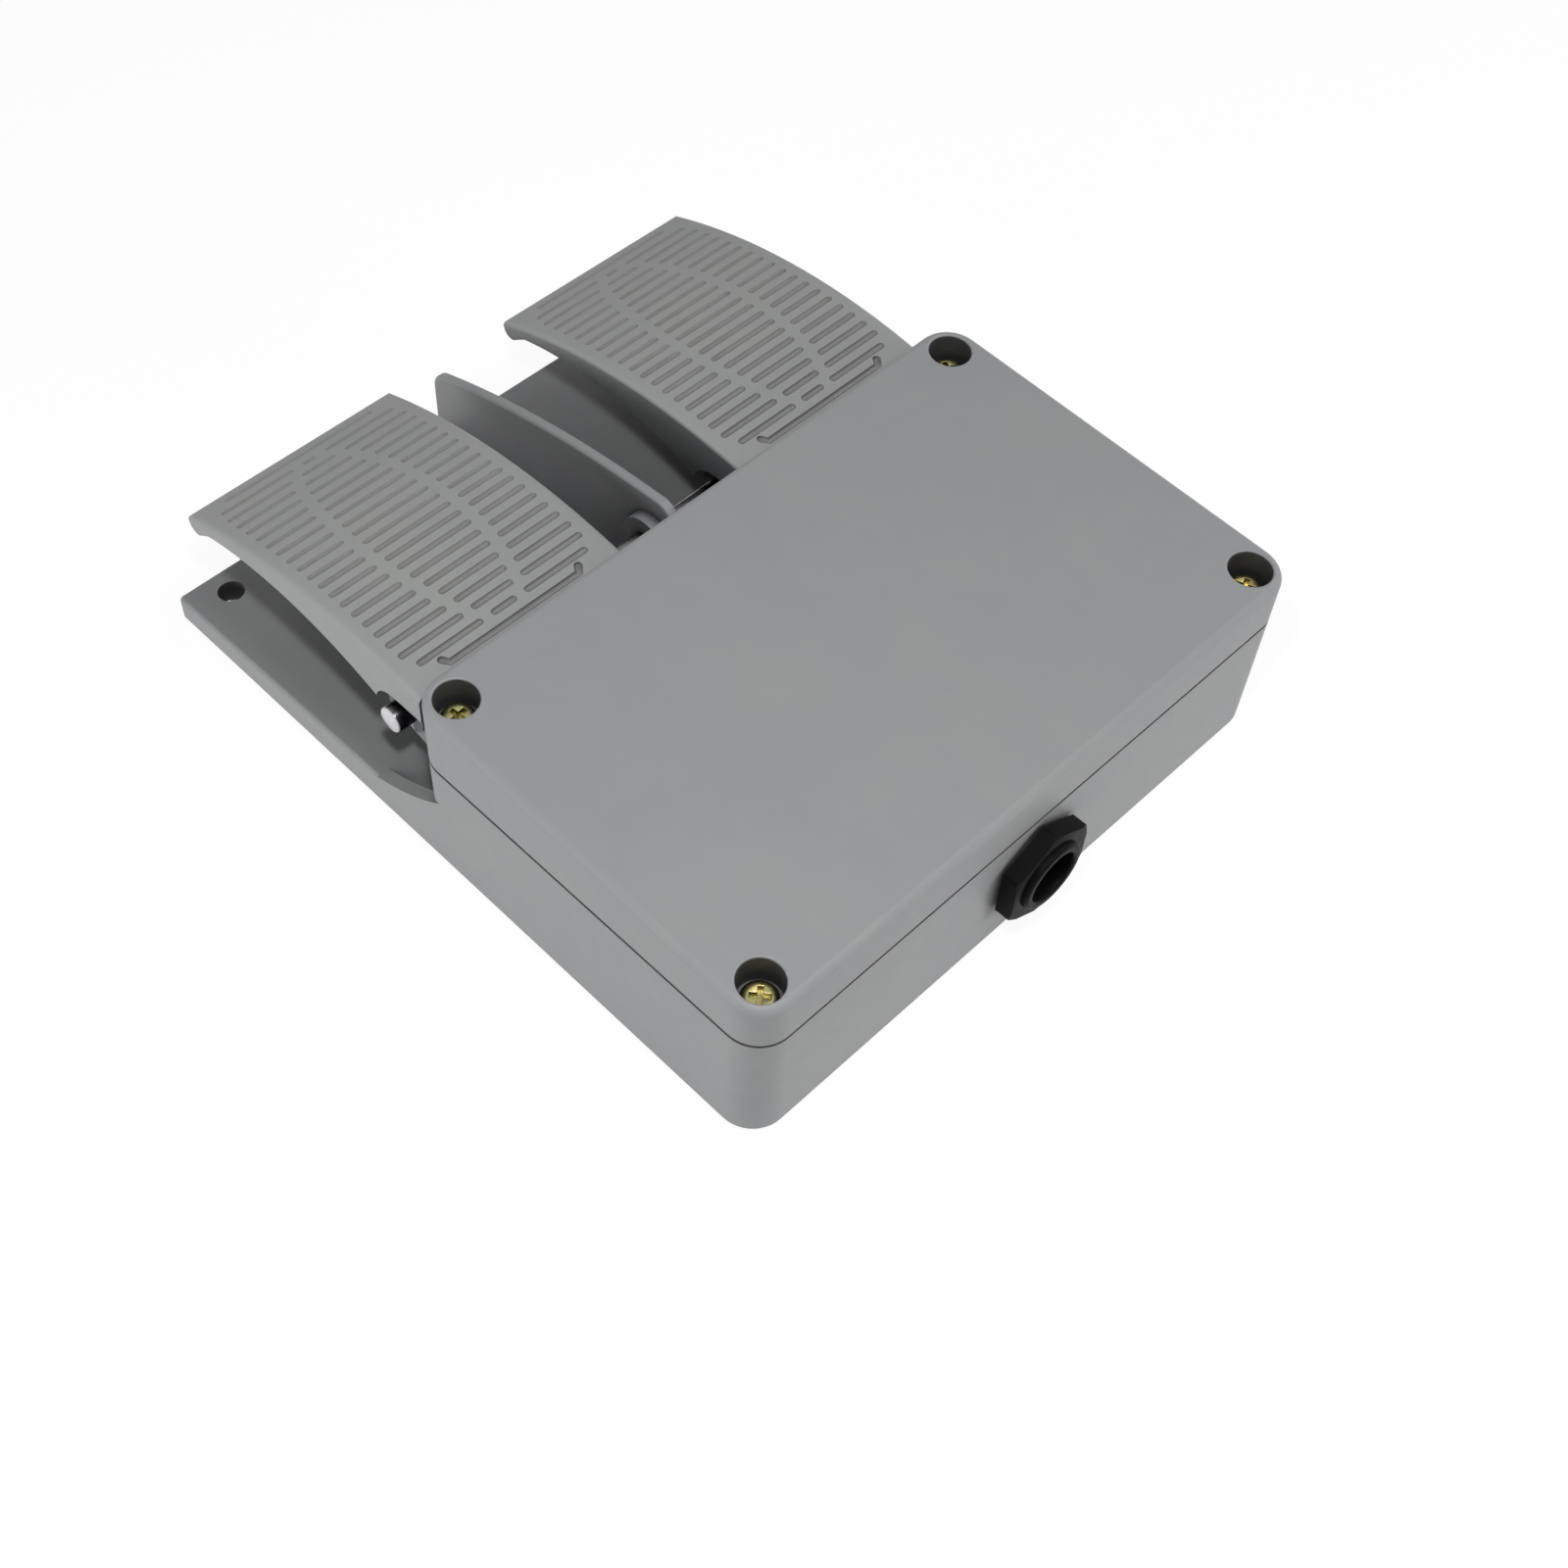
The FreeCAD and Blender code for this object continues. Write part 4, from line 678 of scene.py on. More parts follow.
class MaterialBench(Bench):
    """A bench on a new material with its shader."""

    def __init__(self, name: str) -> None:
        """Start a material of this name."""
        self.material: bpy.types.Material = bpy.data.materials.new(name)
        self.material.use_nodes = True
        super().__init__(self.material.node_tree)
        self.shader: bpy.types.Node = self.tree.nodes["Principled BSDF"]

    def feed(self, label: str, value: object) -> None:
        """Set one of the shader's inputs to a number, or join a socket to it.

        Args:
            label: The input's name.
            value: A number or a socket.
        """
        if isinstance(value, bpy.types.NodeSocket):
            self.tree.links.new(value, self.shader.inputs[label])
        else:
            self.shader.inputs[label].default_value = value

    def feed_bump(self, height: bpy.types.NodeSocket, strength: float, distance: float) -> None:
        """Let the surface rise and fall a little.

        Args:
            height: The relief's socket.
            strength: How strong it shows.
            distance: Its depth, in metres.
        """
        bump = self.add("Bump", Strength=strength, Distance=distance)
        self.tree.links.new(height, bump.inputs["Height"])
        self.feed("Normal", bump.outputs["Normal"])


@dataclass(frozen=True)
class CastPaint:
    """Semi-matt stove paint on a die casting, with a fine orange peel, lighter rubbed edges and painted
    shade in recesses and hollows.
    """

    name: str
    colour: Colour = (0.298, 0.301, 0.307, 1.0)
    uneven: float = 0.045
    cloud_size: float = 26.0
    roughness: float = 0.47
    duller: float = 0.06
    shinier: float = 0.05
    speckle_size: float = 300.0
    specular: float = 0.42
    peel: float = 0.05
    peel_size: float = 1500.0
    peel_pits: float = 0.12
    peel_depth: float = 0.0004
    rubbed: Colour = (0.62, 0.63, 0.64, 1.0)
    edge_lift: float = 0.10
    edge_reach: float = 0.0009
    edge_breakup: float = 160.0
    # Painted shade in narrow recesses and deep hollows, and whether neighbouring pieces count as
    # closing a hollow.
    recess_shade_depth: float = 0.65
    recess_shade_sharpness: float = 3.1
    recess_shade_tone: float = 0.045
    hollow_shade: float = 0.88
    beside_others: bool = False

    def toned(self, *shares: float) -> Colour:
        """The colour with its red, green and blue raised by these shares of the unevenness."""
        red, green, blue = (value * (1 + self.uneven * share)
                            for value, share in zip(self.colour, shares))
        return (red, green, blue, 1.0)

    def build(self, effects: Effects) -> bpy.types.Material:
        """Build the material.

        Args:
            effects: The shared effects.

        Returns:
            The material.
        """
        bench = MaterialBench(self.name)
        cloud = effects.place(bench, effects.mottle, Size=self.cloud_size, Contrast=1.0)
        body = bench.blend(cloud, self.toned(-1.0, -0.9, -0.3), self.toned(1.0, 1.1, 0.4))
        rub = effects.place(bench, effects.edges, Reach=self.edge_reach, Breakup=self.edge_breakup)
        lifted = bench.blend(bench.math("MULTIPLY", rub, self.edge_lift), body, self.rubbed)
        # Painted shade darkens the colour in narrow recesses and deep hollows.
        recess = effects.place(bench, effects.painted_recess_shade, Depth=self.recess_shade_depth, Sharpness=self.recess_shade_sharpness)
        recess_shaded = bench.blend(recess, lifted, shade(RECESS_SHADE_COLOUR, self.recess_shade_tone))
        hollow_shade_group = effects.painted_shade_all if self.beside_others else effects.painted_shade_own
        deep = effects.place(bench, hollow_shade_group, Depth=self.hollow_shade)
        bench.feed("Base Color", bench.blend(deep, recess_shaded, PAINTED_SHADE))
        speckle = effects.place(bench, effects.mottle, Size=self.speckle_size, Contrast=1.0)
        bench.feed("Roughness", bench.spread(speckle, 0.0, 1.0, self.roughness - self.shinier,
                                             self.roughness + self.duller))
        skin = effects.place(bench, effects.grain, Size=self.peel_size, Pits=self.peel_pits)
        bench.feed_bump(skin, self.peel, self.peel_depth)
        bench.feed("Specular IOR Level", self.specular)
        return bench.material


@dataclass(frozen=True)
class PlatedMetal:
    """Bare, plated or passivated metal: two tones in cloudy patches, drawn lines, worn edges, painted
    shade in hollows.
    """

    name: str
    colour: Colour
    tint: Colour
    roughness: float = 0.32
    duller: float = 0.08
    shinier: float = 0.07
    patch_size: float = 260.0
    patch_contrast: float = 1.6
    line_relief: float = 0.06
    line_depth: float = 0.0002
    lines: tuple[float, float, float] = (900.0, 900.0, 900.0)
    wear: float = 0.5
    wear_tone: float = 1.25
    wear_reach: float = 0.0003
    wear_breakup: float = 700.0
    # Painted shade in hollows between pieces.
    hollow_shade: float = 0.3

    def build(self, effects: Effects) -> bpy.types.Material:
        """Build the material.

        Args:
            effects: The shared effects.

        Returns:
            The material.
        """
        bench = MaterialBench(self.name)
        cloud = effects.place(bench, effects.mottle, Size=self.patch_size,
                              Contrast=self.patch_contrast)
        tone = bench.blend(cloud, self.colour, self.tint)
        rub = effects.place(bench, effects.edges, Reach=self.wear_reach, Breakup=self.wear_breakup)
        worn = bench.blend(bench.math("MULTIPLY", rub, self.wear), tone,
                           shade(self.colour, self.wear_tone))
        # Painted shade darkens the metal in hollows between pieces.
        deep = effects.place(bench, effects.painted_shade_all, Depth=self.hollow_shade, Upright=0.0)
        bench.feed("Base Color", bench.blend(deep, worn, PAINTED_SHADE))
        along_x, along_y, along_z = self.lines
        drawn = effects.place(bench, effects.lines, Along_X=along_x, Along_Y=along_y,
                              Along_Z=along_z)
        bench.feed("Roughness", bench.spread(drawn, 0.0, 1.0, self.roughness - self.shinier,
                                             self.roughness + self.duller))
        bench.feed_bump(drawn, self.line_relief, self.line_depth)
        bench.feed("Metallic", 1.0)
        return bench.material


@dataclass(frozen=True)
class Moulded:
    """Moulded plastic or rubber with a fine skin, slight unevenness and dull or shiny patches."""

    name: str
    colour: Colour
    roughness: float = 0.45
    swing: float = 0.07
    uneven: float = 0.12
    cloud_size: float = 90.0
    cloud_contrast: float = 1.2
    grain_size: float = 1800.0
    grain_pits: float = 0.3
    grain_depth: float = 0.0003
    relief: float = 0.08
    wear: float = 0.25
    wear_tone: float = 1.9
    wear_reach: float = 0.0004
    wear_breakup: float = 400.0
    specular: float = 0.5

    def build(self, effects: Effects) -> bpy.types.Material:
        """Build the material.

        Args:
            effects: The shared effects.

        Returns:
            The material.
        """
        bench = MaterialBench(self.name)
        cloud = effects.place(bench, effects.mottle, Size=self.cloud_size,
                              Contrast=self.cloud_contrast)
        body = bench.blend(cloud, shade(self.colour, 1 - self.uneven),
                           shade(self.colour, 1 + self.uneven))
        rub = effects.place(bench, effects.edges, Reach=self.wear_reach, Breakup=self.wear_breakup)
        bench.feed("Base Color", bench.blend(bench.math("MULTIPLY", rub, self.wear), body,
                                             shade(self.colour, self.wear_tone)))
        skin = effects.place(bench, effects.grain, Size=self.grain_size, Pits=self.grain_pits)
        bench.feed("Roughness", bench.spread(skin, 0.2, 0.8, self.roughness - self.swing,
                                             self.roughness + self.swing))
        bench.feed_bump(skin, self.relief, self.grain_depth)
        bench.feed("Specular IOR Level", self.specular)
        return bench.material


FINISHES = (
    CastPaint("grey_body_paint"),
    # The pedal paint is a lighter copy of the body's grey, a painted lift of light on the pedals, with
    # heavy painted shade in its grooves.
    CastPaint("grey_pedal_paint", colour=(0.332, 0.339, 0.335, 1.0), roughness=0.5, edge_lift=0.04,
              recess_shade_depth=0.92, recess_shade_sharpness=14.0, recess_shade_tone=0.14, hollow_shade=0.8, beside_others=True),
    # The screws take painted shade deep in the lid's wells.
    PlatedMetal("yellow_passivated_zinc", (0.72, 0.56, 0.20, 1.0), (0.56, 0.60, 0.30, 1.0), 0.28,
                hollow_shade=0.45),
    PlatedMetal("bright_zinc", (0.62, 0.63, 0.65, 1.0), (0.52, 0.54, 0.58, 1.0), 0.3),
    # The shaft takes heavy painted shade where it lies between the pedals, under the lid's edge.
    PlatedMetal("turned_steel", (0.66, 0.66, 0.67, 1.0), (0.58, 0.58, 0.60, 1.0), 0.22,
                patch_size=120.0, line_relief=0.1, lines=(4200.0, 300.0, 300.0), hollow_shade=0.97),
    PlatedMetal("clip_steel", (0.20, 0.20, 0.22, 1.0), (0.12, 0.12, 0.14, 1.0), 0.34),
    PlatedMetal("spring_wire", (0.42, 0.42, 0.44, 1.0), (0.30, 0.31, 0.33, 1.0), 0.3,
                patch_size=300.0),
    PlatedMetal("rolled_steel_sheet", (0.58, 0.59, 0.61, 1.0), (0.46, 0.48, 0.52, 1.0), 0.38,
                patch_size=180.0, line_relief=0.08, lines=(2600.0, 140.0, 140.0)),
    PlatedMetal("contact_silver", (0.74, 0.73, 0.70, 1.0), (0.62, 0.60, 0.56, 1.0), 0.26),
    PlatedMetal("machined_brass", (0.78, 0.56, 0.26, 1.0), (0.66, 0.46, 0.20, 1.0), 0.25,
                patch_size=150.0),
    Moulded("black_polyamide", (0.0035, 0.0035, 0.0042, 1.0), 0.45, uneven=0.15,
            grain_size=1500.0, relief=0.06, specular=0.06),
    Moulded("black_case_plastic", (0.012, 0.012, 0.013, 1.0), 0.42),
    Moulded("white_nylon", (0.66, 0.65, 0.60, 1.0), 0.42, uneven=0.04),
    Moulded("red_button_plastic", (0.42, 0.030, 0.022, 1.0), 0.36),
    Moulded("ivory_block_plastic", (0.58, 0.56, 0.48, 1.0), 0.4, uneven=0.04),
    Moulded("mat_rubber", (0.020, 0.020, 0.021, 1.0), 0.78, uneven=0.2, grain_size=900.0,
            relief=0.25, specular=0.25),
    Moulded("gasket_rubber", (0.016, 0.016, 0.017, 1.0), 0.7, uneven=0.15, grain_size=1200.0,
            relief=0.15, specular=0.3),
)


# Sub-assemblies


@dataclass
class Housing:
    """The cast base with its tray, divider fin and shaft lugs, and the sloping lid on the box."""

    materials: dict[str, bpy.types.Material]
    half_width: float = 100.0
    box_y: float = -10.25
    rear_y: float = 113.75
    lid_z: float = 42.3
    lid_front_z: float = 64.2
    lid_rear_z: float = 57.2
    corner_r: float = 10.0
    edge_r: float = 2.35
    wall: float = 3.5
    screw_inset: float = 9.0
    well_r: float = 6.0
    post_r: float = 8.0
    well_depth: float = 9.7
    screw_hole_r: float = 2.3
    foot_r: float = 0.35
    through: float = 30.0
    over: float = 3.0
    rib: float = 2.5
    rib_half_spacing: float = 30.0
    rib_depth: float = 5.0
    base_edge: float = 0.35
    base_edge_deg: float = 35.0
    rim_r: float = 0.7
    rim_steps: int = 4

    def slope(self) -> float:
        """How far the top falls per millimetre towards the rear."""
        return (self.lid_front_z - self.lid_rear_z) / (self.rear_y - self.box_y)

    def top_z(self, y: float) -> float:
        """Height of the sloping top at y."""
        return self.lid_front_z - self.slope() * (y - self.box_y)

    def screw_places(self) -> list[tuple[float, float, float]]:
        """Find where the four lid screws are seated.

        Returns:
            The places, as x, y and z.
        """
        x = self.half_width - self.screw_inset
        return [(side * x, y, self.top_z(y) - self.well_depth) for side in (-1, 1)
                for y in (self.rear_y - self.screw_inset, self.box_y + self.screw_inset)]

    def lid_block(self, name: str, inset: float, drop: float) -> bpy.types.Object:
        """Make the room under the sloping top, taken in by inset and lowered by drop.

        Args:
            name: The object's name.
            inset: How far its walls stand inside the lid's, in millimetres.
            drop: How far its top lies below the lid's, in millimetres.

        Returns:
            A block with rounded upright corners and a sloping top.
        """
        item = add_block(name, (inset - self.half_width, self.box_y + inset, self.lid_z),
                         (self.half_width - inset, self.rear_y - inset, self.lid_front_z + 1))
        round_edges(item, self.corner_r - inset, 14, level_in(0, 1))
        slice_off(item, (0, self.box_y, self.lid_front_z - drop), (0, self.slope(), 1))
        return item

    def make_lid(self) -> bpy.types.Object:
        """Model the lid: sloping top, rounded rim, screw wells, posts and two ribs inside.

        Returns:
            The lid.
        """
        lid = self.lid_block("lid_shell", 0.0, 0.0)
        round_edges(lid, self.edge_r, 6, all_above(self.lid_rear_z, slack=0.5))
        round_edges(lid, self.foot_r, 2, all_below(self.lid_z))
        room = self.lid_block("lid_room", self.wall, self.wall)
        posts = [add_drum("post", self.post_r, (x, y, self.lid_z - 1), self.through, Axis.Z)
                 for x, y, _ in self.screw_places()]
        low = self.lid_rear_z - self.wall - self.rib_depth
        for way in (-1, 1):
            x = way * self.rib_half_spacing
            posts.append(add_block("rib", (x - self.rib / 2, self.box_y - 1, low),
                                   (x + self.rib / 2, self.rear_y + 1, self.lid_front_z + 2)))
        combine(room, posts, Cut.TAKE_AWAY)
        cutters = [room]
        for x, y, seat_z in self.screw_places():
            cutters.append(self.well_tool(x, y, seat_z))
            cutters.append(add_drum("hole", self.screw_hole_r, (x, y, self.lid_z - 5), self.through,
                                    Axis.Z, 32))
        combine(lid, cutters, Cut.TAKE_AWAY)
        smooth(lid)
        steady_normals(lid)
        return lid

    def well_tool(self, x: float, y: float, seat_z: float) -> bpy.types.Object:
        """Make the tool of one screw well, which flares where it leaves the sloping top.

        Args:
            x: The well's place across the lid.
            y: The well's place along the lid.
            seat_z: The height of the screw's seat.

        Returns:
            The tool.
        """
        rim_z = self.top_z(y)
        tool = add_drum("well", self.well_r, (x, y, seat_z), rim_z - self.rim_r - seat_z, Axis.Z)
        select_only(tool)
        bpy.ops.object.mode_set(mode="EDIT")
        bpy.ops.mesh.select_mode(type="FACE")
        bpy.ops.mesh.select_all(action="DESELECT")
        mesh = bmesh.from_edit_mesh(tool.data)
        for face in mesh.faces:
            face.select_set(face.normal.z > 0.5)
        bmesh.update_edit_mesh(tool.data)
        centre = Vector((x * MM, y * MM, (rim_z - self.rim_r) * MM))
        bpy.ops.transform.rotate(value=math.atan(self.slope()), orient_axis="X",
                                 center_override=centre)
        for step in range(1, self.rim_steps + 1):
            lean = math.pi / 2 * step / self.rim_steps
            before = math.pi / 2 * (step - 1) / self.rim_steps
            rise = self.rim_r * (math.sin(lean) - math.sin(before))
            wide = self.well_r + self.rim_r * (1 - math.cos(lean))
            narrow = self.well_r + self.rim_r * (1 - math.cos(before))
            bpy.ops.mesh.extrude_region_move(TRANSFORM_OT_translate={"value": (0, 0, rise * MM)})
            bpy.ops.transform.resize(value=(wide / narrow, wide / narrow, 1), center_override=centre)
        bpy.ops.mesh.extrude_region_move(TRANSFORM_OT_translate={"value": (0, 0, self.over * MM)})
        bpy.ops.object.mode_set(mode="OBJECT")
        return tool

    def make_base(self) -> bpy.types.Object:
        """Model the base on the node's own form, with the small radii of a casting.

        Returns:
            The base.
        """
        base = merged_copy("base_casting", "base_shell")
        apply_modifier(base, "BEVEL", width=self.base_edge * MM, segments=2, limit_method="ANGLE",
                       angle_limit=math.radians(self.base_edge_deg), use_clamp_overlap=True)
        smooth(base)
        steady_normals(base)
        return base

    def build(self) -> None:
        """Make the base and the lid and hand them over."""
        hand_over(self.make_base(), "base", ["base_casting"],
                  self.materials["grey_body_paint"])
        hand_over(self.make_lid(), "base", ["lid"], self.materials["grey_body_paint"])


@dataclass
class LidScrews:
    """Four cross-recessed pan-head screws deep in the lid's wells."""

    materials: dict[str, bpy.types.Material]
    places: Sequence[tuple[float, float, float]]
    shank_r: float = 2.0
    length: float = 18.0
    head_r: float = 4.8
    head: float = 3.1
    cross_width: float = 1.25
    cross_length: float = 5.0
    cross_depth: float = 1.9
    cross_edge_r: float = 0.18
    crown_r: float = 1.7
    seat_r: float = 0.25
    tip_r: float = 0.5
    turns: tuple[float, float, float, float] = (0.35, 1.1, 0.7, 0.1)

    def make_screw(self) -> bpy.types.Object:
        """Model one screw that points down from the origin.

        Returns:
            The screw.
        """
        screw = add_drum("lid_screw", self.head_r, (0, 0, 0), self.head, Axis.Z, 48)
        round_edges(screw, self.crown_r, 6, all_above(self.head))
        round_edges(screw, self.seat_r, 2, all_below(0.0))
        shank = add_drum("shank", self.shank_r, (0, 0, -self.length), self.length + 0.5, Axis.Z, 32)
        round_edges(shank, self.tip_r, 2, all_below(-self.length))
        combine(screw, [shank], Cut.ADD)
        bars = []
        low = self.head - self.cross_depth
        for across, along in ((self.cross_width, self.cross_length),
                              (self.cross_length, self.cross_width)):
            bar = add_block("bar", (-across / 2, -along / 2, low), (across / 2, along / 2, 9))
            bars.append(bar)
        combine(screw, bars, Cut.TAKE_AWAY)
        weld(screw)
        round_edges(screw, self.cross_edge_r, 2, self.is_recess_edge)
        smooth(screw)
        return screw

    def is_recess_edge(self, first: Vector, last: Vector) -> bool:
        """Tell whether an edge runs round the mouth of the cross recess.

        Args:
            first: One end, in millimetres.
            last: The other end.

        Returns:
            Whether it does.
        """
        reach = self.cross_length / 2 + 0.01
        high = min(first.z, last.z) > self.head - 0.9
        near = all(max(abs(p.x), abs(p.y)) < reach for p in (first, last))
        return high and near and (last - first).length > 0.02

    def build(self) -> None:
        """Model one screw and copy it to every well, each turned its own way."""
        pattern = self.make_screw()
        for index, (place, turn) in enumerate(zip(self.places, self.turns)):
            name = f"lid_screw_{index + 1}"
            copy = copy_of(pattern, name)
            copy.location = Vector(place) * MM
            copy.rotation_euler = (0, 0, turn)
            settle(copy, name)
            hand_over(copy, "base", ["lid_screws"],
                      self.materials["yellow_passivated_zinc"])
        bpy.data.objects.remove(pattern)


@dataclass
class PedalCasting:
    """One cast pedal: curved plate with a grooved top, skirts, lip, ribs, hubs and finger."""

    materials: dict[str, bpy.types.Material]
    centre_x: float = 57.8
    width: float = 72.0
    side_wall: float = 3.0
    skin: float = 4.0
    tip_y: float = -115.25
    heel_y: float = -13.75
    pivot: tuple[float, float] = (-25.25, 36.5)
    crown: tuple[float, float] = (-45.45, 56.1)
    top_r: float = 198.6
    edge_r: float = 1.6
    lip_z: float = 38.7
    lip_slant: float = 1.4
    lip_root_y: float = -105.5
    lip_root: float = 5.3
    lip_wall: float = 3.6
    lip_overlap: float = 0.5
    nose: float = 2.1
    skirt_crest: tuple[float, float] = (-74.85, 46.5)
    skirt_r: float = 115.4
    notch_r: float = 8.0
    rib: float = 5.0
    rib_rise: float = 1.5
    rib_over_pivot: float = 2.5
    rib_middles: tuple[float, float] = (39.45, 76.15)
    hub_starts: tuple[float, float] = (33.45, 70.15)
    hub_width: float = 12.0
    hub_r: float = 7.5
    bush_bore_r: float = 5.53
    shaft_bore_r: float = 4.4
    finger_half: float = 6.0
    finger_r: float = 8.0
    finger_front: float = 4.5
    finger_rear: float = 7.5
    finger_length: float = 21.5
    finger_edge_r: float = 1.2
    web_skin: float = 2.5
    spring_y: float = -54.25
    spigot_r: float = 5.2
    spigot_drop: float = 3.5
    spigot: float = 5.5
    spigot_edge_r: float = 0.8
    rear_y: float = 113.75
    groove_r: float = 1.3
    groove_pitch: float = 4.67
    groove_rows: int = 21
    first_setback: float = 131.2
    first_half: float = 23.5
    field_half: float = 32.0
    field_corner: float = 12.0
    field_tip_setback: float = 226.5
    gap: float = 2.6
    eye_half: float = 14.8
    eye_length_half: float = 44.6
    eye_setback: float = 177.0
    heel_lift: float = 0.7
    tip_lift: float = 1.05
    fade_power: float = 1.5
    groove_end: float = 0.94
    least_groove: float = 2.2
    hook: float = 3.6
    hook_lift: float = 0.02
    hook_lean_deg: float = 55.0
    floor_z: float = 10.0
    ceiling_z: float = 70.0
    on_top: float = 0.03
    at_tip: float = 0.05

    def low_x(self) -> float:
        """The pedal's inner side."""
        return self.centre_x - self.width / 2

    def high_x(self) -> float:
        """The pedal's outer side."""
        return self.centre_x + self.width / 2

    def top_z(self, y: float, depth: float = 0.0) -> float:
        """Height of the curved top, or of a surface at some depth below it."""
        return circle_height(y, self.crown[0], self.crown[1] - self.top_r, self.top_r - depth)

    def big_drum(self, depth: float) -> bpy.types.Object:
        """The drum whose skin is the pedal's curved top, taken in by a depth."""
        start = (self.low_x() - 5, self.crown[0], self.crown[1] - self.top_r)
        return add_drum("top_drum", self.top_r - depth, start, self.width + 10, Axis.X, 360)

    def skirt_tools(self, lift: float, rear_z: float) -> list[bpy.types.Object]:
        """Make the tools that cut away all below the skirt line.

        Args:
            lift: How far the line lies above the skirt's own, in millimetres.
            rear_z: The height of the cut behind the pivot, in millimetres.

        Returns:
            The tool in front of the pivot and the one behind it.
        """
        low, high = self.low_x() - 2, self.high_x() + 2
        tool = add_block("skirt_tool", (low, self.lip_root_y, self.floor_z),
                         (high, self.pivot[0], self.ceiling_z - 10))
        drum = add_drum("skirt_drum", self.skirt_r,
                        (low - 3, self.skirt_crest[0], self.skirt_crest[1] + lift - self.skirt_r),
                        self.width + 12, Axis.X, 360)
        combine(tool, [drum], Cut.KEEP_COMMON)
        rear = add_block("rear_tool", (low, self.pivot[0] - 0.05, self.floor_z),
                         (high, self.heel_y + 6, rear_z))
        return [tool, rear]

    def make_shell(self) -> bpy.types.Object:
        """Model the curved plate with its skirts and its sloped lip.

        Returns:
            The plate, hollow from below.
        """
        low, high = self.low_x(), self.high_x()
        shell = add_block("pedal_shell", (low, self.tip_y, self.pivot[1] - self.notch_r),
                          (high, self.heel_y, self.crown[1] + 2))
        combine(shell, [self.big_drum(0.0)], Cut.KEEP_COMMON)
        under_lip = add_block("under_lip", (low - 2, self.tip_y - 3, self.floor_z),
                              (high + 2, self.lip_root_y + self.lip_overlap, self.lip_z))
        tip_top = self.top_z(self.tip_y)
        slice_off(shell, (0, self.tip_y, tip_top), (0, self.lip_z - tip_top, -self.lip_slant))
        tools = self.skirt_tools(0.0, self.pivot[1] + self.notch_r)
        combine(shell, [under_lip] + tools, Cut.TAKE_AWAY)
        weld(shell)
        pick_edges(shell, self.is_lip_root)
        bpy.ops.transform.translate(value=(0, -self.lip_root * MM, 0))
        bpy.ops.object.mode_set(mode="OBJECT")
        room = add_block("pedal_room",
                         (low + self.side_wall, self.tip_y + self.lip_wall, self.floor_z),
                         (high - self.side_wall, self.heel_y + self.skin, self.ceiling_z))
        combine(room, [self.big_drum(self.skin)], Cut.KEEP_COMMON)
        notch = add_drum("notch", self.notch_r, (low - 5, *self.pivot), self.width + 10, Axis.X, 72)
        combine(shell, [room, notch], Cut.TAKE_AWAY)
        return shell

    def is_lip_root(self, first: Vector, last: Vector) -> bool:
        """Tell whether an edge runs along the rear of the lip's underside."""
        near = all(abs(end.y - self.lip_root_y) < self.lip_overlap + 0.1 for end in (first, last))
        return near and max(first.z, last.z) < self.lip_z + TOUCH

    def is_nose_edge(self, first: Vector, last: Vector) -> bool:
        """Tell whether an edge runs along the front of the lip's underside.

        Args:
            first: One end, in millimetres.
            last: The other end.

        Returns:
            Whether it does.
        """
        low = max(first.z, last.z) < self.lip_z + TOUCH
        front = max(first.y, last.y) < self.tip_y + self.lip_slant + 0.1
        return low and front and abs(first.x - last.x) > 1

    def is_top_rim(self, first: Vector, last: Vector) -> bool:
        """Tell whether an edge bounds the curved top.

        Args:
            first: One end, in millimetres.
            last: The other end.

        Returns:
            Whether it does.
        """
        for end in (first, last):
            if abs(end.z - self.top_z(end.y)) > self.on_top:
                return False
        along_side = abs(first.x - last.x) < TOUCH
        on_side = abs(abs(first.x - self.centre_x) - self.width / 2) < TOUCH
        return (along_side and on_side) or max(first.y, last.y) < self.tip_y + self.at_tip

    def add_inner_forms(self, shell: bpy.types.Object) -> None:
        """Add the ribs, hubs, finger and spring spigot under the plate, and bore them.

        Args:
            shell: The plate.
        """
        y, z = self.pivot
        for middle, start in zip(self.rib_middles, self.hub_starts):
            rib = add_block("rib", (middle - self.rib / 2, self.lip_root_y, self.floor_z + 10),
                            (middle + self.rib / 2, self.heel_y, self.ceiling_z))
            combine(rib, [self.big_drum(self.skin / 2)], Cut.KEEP_COMMON)
            combine(rib, self.skirt_tools(self.rib_rise, z + self.rib_over_pivot), Cut.TAKE_AWAY)
            hub = add_drum("hub", self.hub_r, (start, y, z), self.hub_width, Axis.X, 56)
            combine(shell, [rib, hub], Cut.ADD)
        low, high = self.centre_x - self.finger_half, self.centre_x + self.finger_half
        boss = add_drum("finger_boss", self.finger_r, (low, y, z), high - low, Axis.X, 56)
        foot = z - self.finger_length
        finger = add_block("finger", (low, y - self.finger_front, foot),
                           (high, y + self.finger_rear, z))
        round_edges(finger, self.finger_edge_r, 3, all_below(foot, slack=0.1))
        web = add_block("web", (low, y - self.finger_r, z),
                        (high, y + self.finger_rear, self.top_z(y) - self.web_skin))
        foot = self.crown[1] - self.skin - self.spigot_drop
        spigot = add_drum("spigot", self.spigot_r, (self.centre_x, self.spring_y, foot),
                          self.spigot, Axis.Z, 40)
        round_edges(spigot, self.spigot_edge_r, 2, all_below(foot, slack=0.1))
        combine(shell, [boss, finger, web, spigot], Cut.ADD)
        bores = [add_drum("shaft_bore", self.shaft_bore_r, (self.low_x() - 5, y, z),
                          self.width + 10, Axis.X, 48)]
